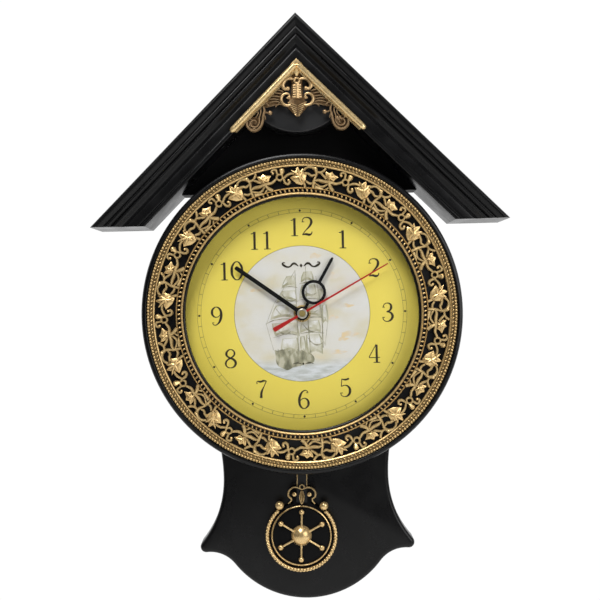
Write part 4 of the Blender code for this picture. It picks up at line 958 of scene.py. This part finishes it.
# Numerals: upright printed figures with thick stems and hair serifs. Each is a set of tapering strokes in a
# cell one unit tall, given as (x, y, half width).
STROKES = {
    "0": [
        [(.31, 1, .018), (.52, .78, .05), (.56, .5, .062), (.52, .22, .05), (.31, 0, .018), (.10, .22, .05),
         (.06, .5, .062), (.10, .78, .05)],
    ],
    "1": [
        [(.32, .02, .055), (.32, .97, .055)],
        [(.16, .012, .014), (.48, .012, .014)],
        [(.32, .97, .02), (.24, .88, .016), (.14, .85, .012)],
    ],
    "2": [
        [(.09, .78, .02), (.13, .93, .02), (.30, 1, .02), (.48, .92, .045), (.53, .74, .06), (.44, .52, .045),
         (.24, .28, .02), (.08, .06, .012)],
        [(.08, .05, .015), (.25, .09, .05), (.42, .05, .055), (.52, .10, .03), (.56, .22, .012)],
        [(.12, .74, .06), (.12, .78, .06)],
    ],
    "3": [
        [(.10, .80, .015), (.16, .94, .018), (.31, 1, .02), (.46, .92, .045), (.49, .76, .055), (.42, .60, .04),
         (.26, .53, .015)],
        [(.26, .53, .015), (.46, .47, .045), (.55, .28, .062), (.46, .08, .045), (.28, 0, .02),
         (.12, .07, .018), (.07, .22, .015)],
        [(.12, .76, .055), (.12, .80, .055)],
        [(.11, .20, .055), (.11, .24, .055)],
    ],
    "4": [
        [(.40, 1, .014), (.04, .30, .014)],
        [(.04, .28, .018), (.58, .28, .018)],
        [(.42, .02, .052), (.42, .98, .052)],
        [(.26, .012, .014), (.58, .012, .014)],
    ],
    "5": [
        [(.14, .96, .02), (.30, .92, .04), (.46, .97, .04), (.50, .99, .01)],
        [(.14, .98, .014), (.11, .55, .014)],
        [(.11, .55, .012), (.28, .62, .02), (.46, .53, .045), (.53, .31, .062), (.45, .08, .045), (.26, 0, .02),
         (.11, .07, .018), (.07, .2, .015)],
        [(.11, .18, .055), (.11, .22, .055)],
    ],
    "6": [
        [(.50, .90, .015), (.40, .99, .018), (.26, .94, .03), (.12, .72, .055), (.07, .40, .062),
         (.13, .12, .045), (.30, 0, .018), (.46, .10, .04), (.52, .28, .058), (.46, .48, .04), (.31, .56, .016),
         (.14, .46, .014), (.08, .35, .012)],
        [(.47, .84, .05), (.47, .88, .05)],
    ],
    "7": [
        [(.08, .80, .012), (.10, .95, .02), (.24, .92, .045), (.40, .97, .045), (.54, .96, .02)],
        [(.55, .97, .012), (.42, .66, .02), (.30, .36, .05), (.27, .03, .062)],
    ],
    "8": [
        [(.30, .54, .03), (.14, .64, .045), (.10, .78, .055), (.18, .94, .035), (.31, 1, .018), (.44, .94, .03),
         (.50, .78, .04), (.44, .64, .035), (.30, .54, .03)],
        [(.30, .54, .045), (.48, .42, .055), (.55, .24, .055), (.46, .06, .04), (.30, 0, .018), (.13, .06, .03),
         (.06, .24, .045), (.14, .42, .035), (.30, .54, .045)],
    ],
}
STROKES["9"] = [[(.62 - x, 1 - y, size) for x, y, size in stroke] for stroke in STROKES["6"]]
FIGURE_HEIGHT, FIGURE_SPREAD, FIGURE_PITCH = 15.8, 17.6, 10.9
FIGURE_PLACES = (
    (36.4, 63.5), (62.7, 38.0), (73.8, -0.6), (61.6, -36.0), (35.9, -64.7), (0, -74.2), (-36.4, -64.8),
    (-62.6, -37.6), (-74.2, -0.6), (-61.0, 38.2), (-34.4, 64.1), (0.4, 75.0)
)
numerals = bmesh.new()
for hour, (across, up) in enumerate(FIGURE_PLACES, 1):
    figures = str(hour)
    for k, figure in enumerate(figures):
        left = across + (k - (len(figures) - 1) / 2) * FIGURE_PITCH - FIGURE_SPREAD * 0.31
        for stroke in STROKES[figure]:
            line = [(left + x * FIGURE_SPREAD, up + (y - 0.5) * FIGURE_HEIGHT) for x, y, size in stroke]
            halves = [max(size * 1.2, 0.024) * FIGURE_HEIGHT for x, y, size in stroke]
            rod(numerals, line, halves, ink_level, 0.04, 4, 1, figure == "0")
seated("numerals", numerals, ink)

# A small printed flourish stands on the picture over the hub, with a lozenge at its middle, and a flatter one
# under it.
flourish = bmesh.new()
flourish_level = dial_front + 0.2 * MM
for side in (-1, 1):
    curl = [(2.4, 41.0), (6.0, 43.4), (10.4, 40.4), (14.4, 41.6), (16.0, 43.6), (13.8, 44.2)]
    rod(flourish, sided(side, curl), [0.4, 1.0, 0.6, 1.0, 0.7, 0.4], flourish_level, 0.05, 4, 1)
    under = sided(side, [(1.6, -43.4), (5.0, -42.6), (9.0, -43.4)])
    rod(flourish, under, [0.2, 0.5, 0.2], flourish_level, 0.05, 4, 1)
for y, size in ((41.4, 1.7), (-43.4, 1.2)):
    rod(flourish, [(0, y - size), (0, y), (0, y + size)], [0.1, 0.8 * size, 0.1], flourish_level, 0.05, 1, 1)
seated("dial_flourish", flourish, ink)


# Hands: stamped black hands and a red sweep second hand on the movement's tubes, held by a turned brass nut and
# closed by a bright cap. The hour hand carries a ring, the minute hand is a plain baton.
def stamped(outlines, back, front, edge=0.00008):
    """A plate stamped from outlines in millimetres, holes included, with its edges just broken."""
    curve = bpy.data.curves.new("stamping", "CURVE")
    curve.dimensions = "2D"
    curve.fill_mode = "BOTH"
    curve.extrude = (front - back) / 2 - edge
    curve.bevel_depth = edge
    curve.bevel_resolution = 1
    curve.offset = -edge
    for outline in outlines:
        spline = curve.splines.new("POLY")
        spline.points.add(len(outline) - 1)
        spline.use_cyclic_u = True
        for point, (x, y) in zip(spline.points, outline):
            point.co = (x * MM, y * MM, 0, 1)
    holder = bpy.data.objects.new("stamping", curve)
    mesh = bpy.data.meshes.new_from_object(holder)
    mesh.transform(Matrix.Translation((0, 0, (front + back) / 2)))
    shape = bmesh.new()
    shape.from_mesh(mesh)
    bpy.data.objects.remove(holder)
    return shape


def ringed(radius, steps, centre=(0, 0)):
    """A hole's outline, clockwise."""
    return arc(centre, radius, 2 * pi, 0, steps)[:-1]


black_lacquer = moulded("hand_black", (0.003, 0.003, 0.003), 0.42, 1400.0, 0.08)
black_lacquer.node_tree.nodes["Principled BSDF"].inputs["Specular IOR Level"].default_value = 0.25
red_lacquer = moulded("hand_red", (0.44, 0.012, 0.010), 0.36, 1400.0, 0.15)
silvered = new_finish("silvered_cap", (0.62, 0.60, 0.52), 0.30, 0.8)
uneven_sheen(silvered, 0.26, 0.38, 500.0)
grained(silvered, 1500.0, 0.10)
cap_brass = new_finish("cap_brass", (0.42, 0.33, 0.12), 0.40, 0.6)
uneven_sheen(cap_brass, 0.34, 0.46, 500.0)


def turned_hand(degrees):
    """A hand's place, turned clockwise from twelve."""
    return FACE_ON @ Matrix.Rotation(-radians(degrees), 4, "Z")


# Where the hands stand at rest, in degrees from twelve.
HOUR_AT, MINUTE_AT, SECOND_AT = 29.9, 305.9, 61
hour_back, hour_front = depths("hour_hand")
hub_arc = arc((0, 0), 5.2, radians(104), radians(436), 40)
ring_centre, opening = (0, 20.9), pi / 2 - 0.13
side_arc = arc(ring_centre, 10.6, -opening, opening, 26)
hour_tip = [(1.3, 52.2), (0.9, 54.6), (0, 55.0), (-0.9, 54.6), (-1.3, 52.2)]
hour_outline = hub_arc + side_arc + hour_tip + sided(-1, reversed(side_arc))
hour_hand = stamped([hour_outline, ringed(2.8, 24), ringed(8.1, 48, ring_centre)], hour_back, hour_front)
seated(
    "hour_hand_ring", hour_hand, black_lacquer, ["hour_hand"], "hour",
    where=turned_hand(HOUR_AT)
)

minute_back, minute_front = depths("minute_hand")
minute_tip = [(1.8, 68.4), (1.5, 69.6), (0.9, 70.0), (-0.9, 70.0), (-1.5, 69.6), (-1.8, 68.4)]
minute_outline = arc((0, 0), 5.8, radians(108), radians(432), 40) + minute_tip
minute_hand = stamped([minute_outline, ringed(1.7, 20)], minute_back, minute_front)
seated(
    "minute_hand_baton", minute_hand, black_lacquer, ["minute_hand"], "minute",
    where=turned_hand(MINUTE_AT)
)

second_back, second_front = depths("second_hand")
second_half = [
    (0, 85.5), (0.45, 85.2), (0.55, 84.4), (0.95, 4.0), (4.0, 0.5), (4.0, -0.5), (0.95, -4.0), (2.1, -27.0),
    (1.5, -28.4), (0, -28.4)
]
second_hand = stamped([mirrored(second_half)[::-1], ringed(0.9, 16)], second_back, second_front)
seated(
    "sweep_hand", second_hand, red_lacquer, ["second_hand"], "second_train",
    where=turned_hand(SECOND_AT)
)

cap_profile = [
    (0, 42.6), (2.9, 42.6), (3.0, 43.0), (3.5, 43.1), (4.1, 42.8), (4.4, 42.3), (4.4, 42.0), (1.6, 42.0),
    (1.6, 42.4), (0, 42.4)
]
seated("hand_cap", spun(cap_profile, 48, False), silvered, ["second_hand_cap"], "second_train")
boss = spun([(0, 42.9), (1.6, 42.88), (2.7, 42.75), (2.7, 42.45), (0, 42.45)], 32, False)
seated("hand_cap_boss", boss, cap_brass, body="second_train")
nut_profile = [(4.3, 37.9), (5.0, 38.0), (6.9, 37.9), (7.25, 37.5), (7.25, 36.4), (4.3, 36.4)]
nut_slots = (box_between((-9, -0.7, 37.3), (-5.2, 0.7, 39)), box_between((5.2, -0.7, 37.3), (9, 0.7, 39)))
nut = carved(spun(nut_profile, 64), *nut_slots)
seated("brass_hand_nut", nut, brass, ["hand_nut"])


# Glass and its spacer: a flat clock glass laid in the bezel's lip and held off the dial by a black plastic
# ring. It is all but clear and very faintly uneven.
spacer_back, spacer_front = (depth / MM for depth in depths("dial_spacer"))
spacer = [(103.2, spacer_front), (103.2, spacer_back), (100.8, spacer_back), (100.8, spacer_front)]
seated("glass_spacer", spun(soft_corners(spacer, 0.3), 128), black_plastic, ["dial_spacer"])
clear_glass = new_finish("clear_glass", (0.01, 0.012, 0.012), 0.03)
clear_glass.node_tree.nodes["Principled BSDF"].inputs["Alpha"].default_value = 0.05
grained(clear_glass, 12.0, 0.02, 0.0002)
glass_back, glass_front = (depth / MM for depth in depths("glass_lens"))
lens = [
    (0, glass_front), (102.8, glass_front), (103.2, glass_front - 0.4), (103.2, glass_back + 0.4),
    (102.8, glass_back), (0, glass_back)
]
seated("clock_glass", spun(lens, 128, False), clear_glass, ["glass_lens"])


# Pendulum: a black strip with two gilt lines hooked on the movement's arm, and a black disc, painted duller and
# darker as painted shade, with a gilt rope collar, an inner ring, a domed rosette with six spokes, and a small
# scrolled crest. It is modelled upright around the movement's pivot and around the disc's centre, and leans a
# little as it hangs at rest.
swing_joint = next(joint for joint in frame["joints"] if joint["name"] == "pendulum_swing")
pivot = Vector(swing_joint["pos_m"])
ring_low, ring_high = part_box("bob_inner_ring")
bob_middle = (ring_low + ring_high) / 2
rest_swing = atan2(bob_middle.x - pivot.x, pivot.z - bob_middle.z)
bob_drop = hypot(bob_middle.x - pivot.x, pivot.z - bob_middle.z)
facing_front = Matrix.Translation((pivot.x, 0, pivot.z)) @ Matrix.Rotation(pi / 2, 4, "X")
HANGING = facing_front @ Matrix.Rotation(rest_swing, 4, "Z")
BOB = HANGING @ Matrix.Translation((0, -bob_drop, 0))
# The pendulum's gilt goes dark in its recesses: a painted shade, which also stands for antique toning.
bob_gold = gilded("bob_gilt", (0.80, 0.57, 0.27), (0.13, 0.07, 0.024), 0.26, 0.0018, 0.7, 0.05)

strip_back, strip_front = depths("pendulum_rod")
strip_outline = [(-4.75, -29.5), (-4.75, -133.5), (4.75, -133.5), (4.75, -29.5)]
strip = stamped([strip_outline, ringed(1.5, 20, (0, -32))], strip_back, strip_front)
seated("pendulum_strip", strip, black_plastic, ["pendulum_rod"], "pendulum", where=HANGING)
gilt_lines = bmesh.new()
for side in (-1, 1):
    rod(gilt_lines, [(side * 4.1, -36), (side * 4.1, -121.0)], 0.55, strip_front - 0.1 * MM, 0.5, 1, 1)
seated("strip_gilt_lines", gilt_lines, bob_gold, (), "pendulum", where=HANGING)

# The disc wears the board's painted shade, a darker and duller black than the case.
backing_back, backing_front = depths("bob_disc")
neck = radians(75)
neck_top = [(10.6, 39.0), (8.6, 42.0), (-8.6, 42.0), (-10.6, 39.0)]
backing = arc((0, 0), 29.0, pi - neck, 2 * pi + neck, 96) + neck_top
backing_plate = stamped([backing], backing_back, backing_front, 0.0002)
seated("bob_backing", backing_plate, painted_shade_black, ["bob_disc"], "pendulum", where=BOB)

collar = bmesh.new()
COLLAR = 29.8
collar_level = 29.4 * MM
rod(collar, arc((0, 0), COLLAR, radians(133), radians(407), 48), 1.4, collar_level - 0.6 * MM, 1.0, 1, 2)
for k, (x, y) in enumerate(arc((0, 0), COLLAR, radians(135), radians(405), 50)):
    turn = radians(135) + radians(270) * k / 50 + pi / 2
    ball(collar, x, y, 1.4, collar_level, 0.9, 10, 6, turn + radians(38), 1.45)
for side in (-1, 1):
    ball(collar, side * 19.3, 26.6, 3.8, 30.4 * MM, 0.95, 24, 14)
seated("rope_collar", collar, bob_gold, ["bob_rope_ring"], "pendulum", where=BOB)

inner_profile = [
    (26.3, 27.6), (26.3, 28.5), (25.9, 28.9), (25.4, 29.0), (25.1, 28.7), (25.0, 28.3), (25.0, 27.6)
]
seated("bob_ring", spun(inner_profile, 96), bob_gold, ["bob_inner_ring"], "pendulum", where=BOB)

dome = [(0, 33.8), (2.4, 33.5), (4.6, 32.6), (6.6, 31.2), (8.1, 29.5), (8.9, 28.3), (9.0, 27.6), (0, 27.6)]
rosette = spun(dome, 48, False)
for k in range(6):
    turn = pi / 2 + k * pi / 3
    x, y = cos(turn), sin(turn)
    spoke = [(7.4 * x, 7.4 * y), (13 * x, 13 * y), (20 * x, 20 * y)]
    rod(rosette, spoke, [1.05, 0.85, 0.95], 28.9 * MM, 1.0, 3, 2)
    ball(rosette, 20.6 * x, 20.6 * y, 2.35, 29.4 * MM, 0.85, 16, 10)
seated("rosette_and_spokes", rosette, bob_gold, ["bob_rosette"], "pendulum", where=BOB)

crest = bmesh.new()
crest_level = 32.0 * MM
crest_scroll = [(1.6, 41.6), (5.1, 42.9), (8.7, 42.1), (11.6, 38.5), (11.4, 34.8), (9.0, 32.4), (11.6, 28.6)]
rod(crest, [(2.0, 43.1), (0, 45.1), (-2.0, 43.1), (0, 41.1)], 0.6, crest_level, 1.2, 4, 1, True)
for side in (-1, 1):
    rod(crest, sided(side, crest_scroll), [0.6, 0.75, 0.8, 0.85, 0.85, 0.75, 0.5], crest_level, 1.1, 4, 1)
    ball(crest, side * 6.5, 36.7, 2.0, crest_level - 0.2 * MM, 0.6, 14, 8)
    stalk = sided(side, [(0.9, 39.6), (1.8, 34.2), (0.6, 28.6)])
    rod(crest, stalk, [0.25, 0.6, 0.25], crest_level + 0.2 * MM, 1.0, 4, 1)
shield_leaf = mirrored([(0, 40.3), (1.5, 38.4), (2.6, 35.6), (2.6, 33.0), (1.5, 29.8), (0, 27.6)])
leaf(crest, shield_leaf, 31.0 * MM, 0.7 * MM, 0.5 * MM)
rod(crest, [(0, 39.8), (0, 34.0), (0, 28.2)], [0.25, 0.5, 0.25], crest_level + 0.5 * MM, 1.0, 4, 1)
seated("bob_scrolls", crest, bob_gold, ["bob_crest"], "pendulum", where=BOB)


# Studio: a large soft key light from the upper left, a wide fill from the right and one from above. A round
# pale floor lies well below and fades away at its edge. The room is pale but dim in front, so that the black
# plastic mirrors little, and looks white where it is seen past the clock.
def soft_light(name, place, size, power):
    """A round soft lamp that faces the dial."""
    lamp = bpy.data.lights.new(name, "AREA")
    lamp.shape = "DISK"
    lamp.size = size
    lamp.energy = power
    holder = bpy.data.objects.new(name, lamp)
    holder.location = place
    aim = Vector((0, 0, HUB_HEIGHT)) - Vector(place)
    holder.rotation_euler = aim.to_track_quat("-Z", "Y").to_euler()
    bpy.context.scene.collection.objects.link(holder)


soft_light("key", (-0.3, -1.05, 1.38), 0.9, 28.4)
soft_light("fill", (1.2, -1.2, 0.2), 1.2, 12)
soft_light("top", (0.1, -0.2, 1.4), 1.0, 10)

FLOOR_RADIUS, FADE_RADIUS = 2.1, 1.55
floor_middle = Vector((0, -0.9, cad_low.z - 0.45))
pale = new_finish("pale_floor", (0.86, 0.86, 0.85), 0.7)
pale_nodes, pale_links = pale.node_tree.nodes, pale.node_tree.links
from_middle = pale_nodes.new("ShaderNodeVectorMath")
from_middle.operation = "DISTANCE"
from_middle.inputs[1].default_value = floor_middle
fading = pale_nodes.new("ShaderNodeMapRange")
fading.inputs["From Min"].default_value = FADE_RADIUS
fading.inputs["From Max"].default_value = FLOOR_RADIUS
fading.inputs["To Min"].default_value = 1.0
fading.inputs["To Max"].default_value = 0.0
pale_links.new(pale_nodes.new("ShaderNodeTexCoord").outputs["Object"], from_middle.inputs[0])
pale_links.new(from_middle.outputs["Value"], fading.inputs["Value"])
feed(pale, "Alpha", fading.outputs["Result"])
floor = bmesh.new()
whereabouts = Matrix.Translation(floor_middle)
bmesh.ops.create_circle(floor, cap_ends=True, segments=96, radius=FLOOR_RADIUS, matrix=whereabouts)
floor_mesh = bpy.data.meshes.new("studio_floor")
floor.to_mesh(floor_mesh)
floor.free()
floor_mesh.materials.append(pale)
studio_floor = bpy.data.objects.new("studio_floor", floor_mesh)
bpy.context.scene.collection.objects.link(studio_floor)

room = bpy.data.worlds.new("room")
room.use_nodes = True
room_nodes, room_links = room.node_tree.nodes, room.node_tree.links
sight = room_nodes.new("ShaderNodeTexCoord")
split = room_nodes.new("ShaderNodeSeparateXYZ")
shade = room_nodes.new("ShaderNodeValToRGB")
facing = room_nodes.new("ShaderNodeMapRange")
facing.inputs["From Min"].default_value = -1.0
facing.inputs["From Max"].default_value = 1.0
shade.color_ramp.elements[0].position = 0.44
shade.color_ramp.elements[0].color = (0.07, 0.07, 0.075, 1.0)
shade.color_ramp.elements[1].position = 0.72
shade.color_ramp.elements[1].color = (1.0, 1.0, 1.0, 1.0)
room_links.new(sight.outputs["Generated"], split.inputs["Vector"])
room_links.new(split.outputs["Y"], facing.inputs["Value"])
room_links.new(facing.outputs["Result"], shade.inputs["Fac"])
seen = room_nodes.new("ShaderNodeMix")
seen.data_type = "RGBA"
seen.inputs["B"].default_value = (1.0, 1.0, 1.0, 1.0)
room_links.new(room_nodes.new("ShaderNodeLightPath").outputs["Is Camera Ray"], seen.inputs["Factor"])
room_links.new(shade.outputs["Color"], seen.inputs["A"])
room_links.new(seen.outputs["Result"], room_nodes["Background"].inputs["Color"])
room_nodes["Background"].inputs["Strength"].default_value = 1.02
bpy.context.scene.world = room
bpy.context.scene.view_settings.view_transform = "Standard"

camera_data = bpy.data.cameras.new("camera")
camera_data.lens = 61.6
camera_data.sensor_width = 36
camera = bpy.data.objects.new("camera", camera_data)
camera.location = (-0.0016, -0.923, HUB_HEIGHT + 0.0117)
camera.rotation_euler = (pi / 2, radians(1.35), 0)
bpy.context.scene.collection.objects.link(camera)
bpy.context.scene.camera = camera
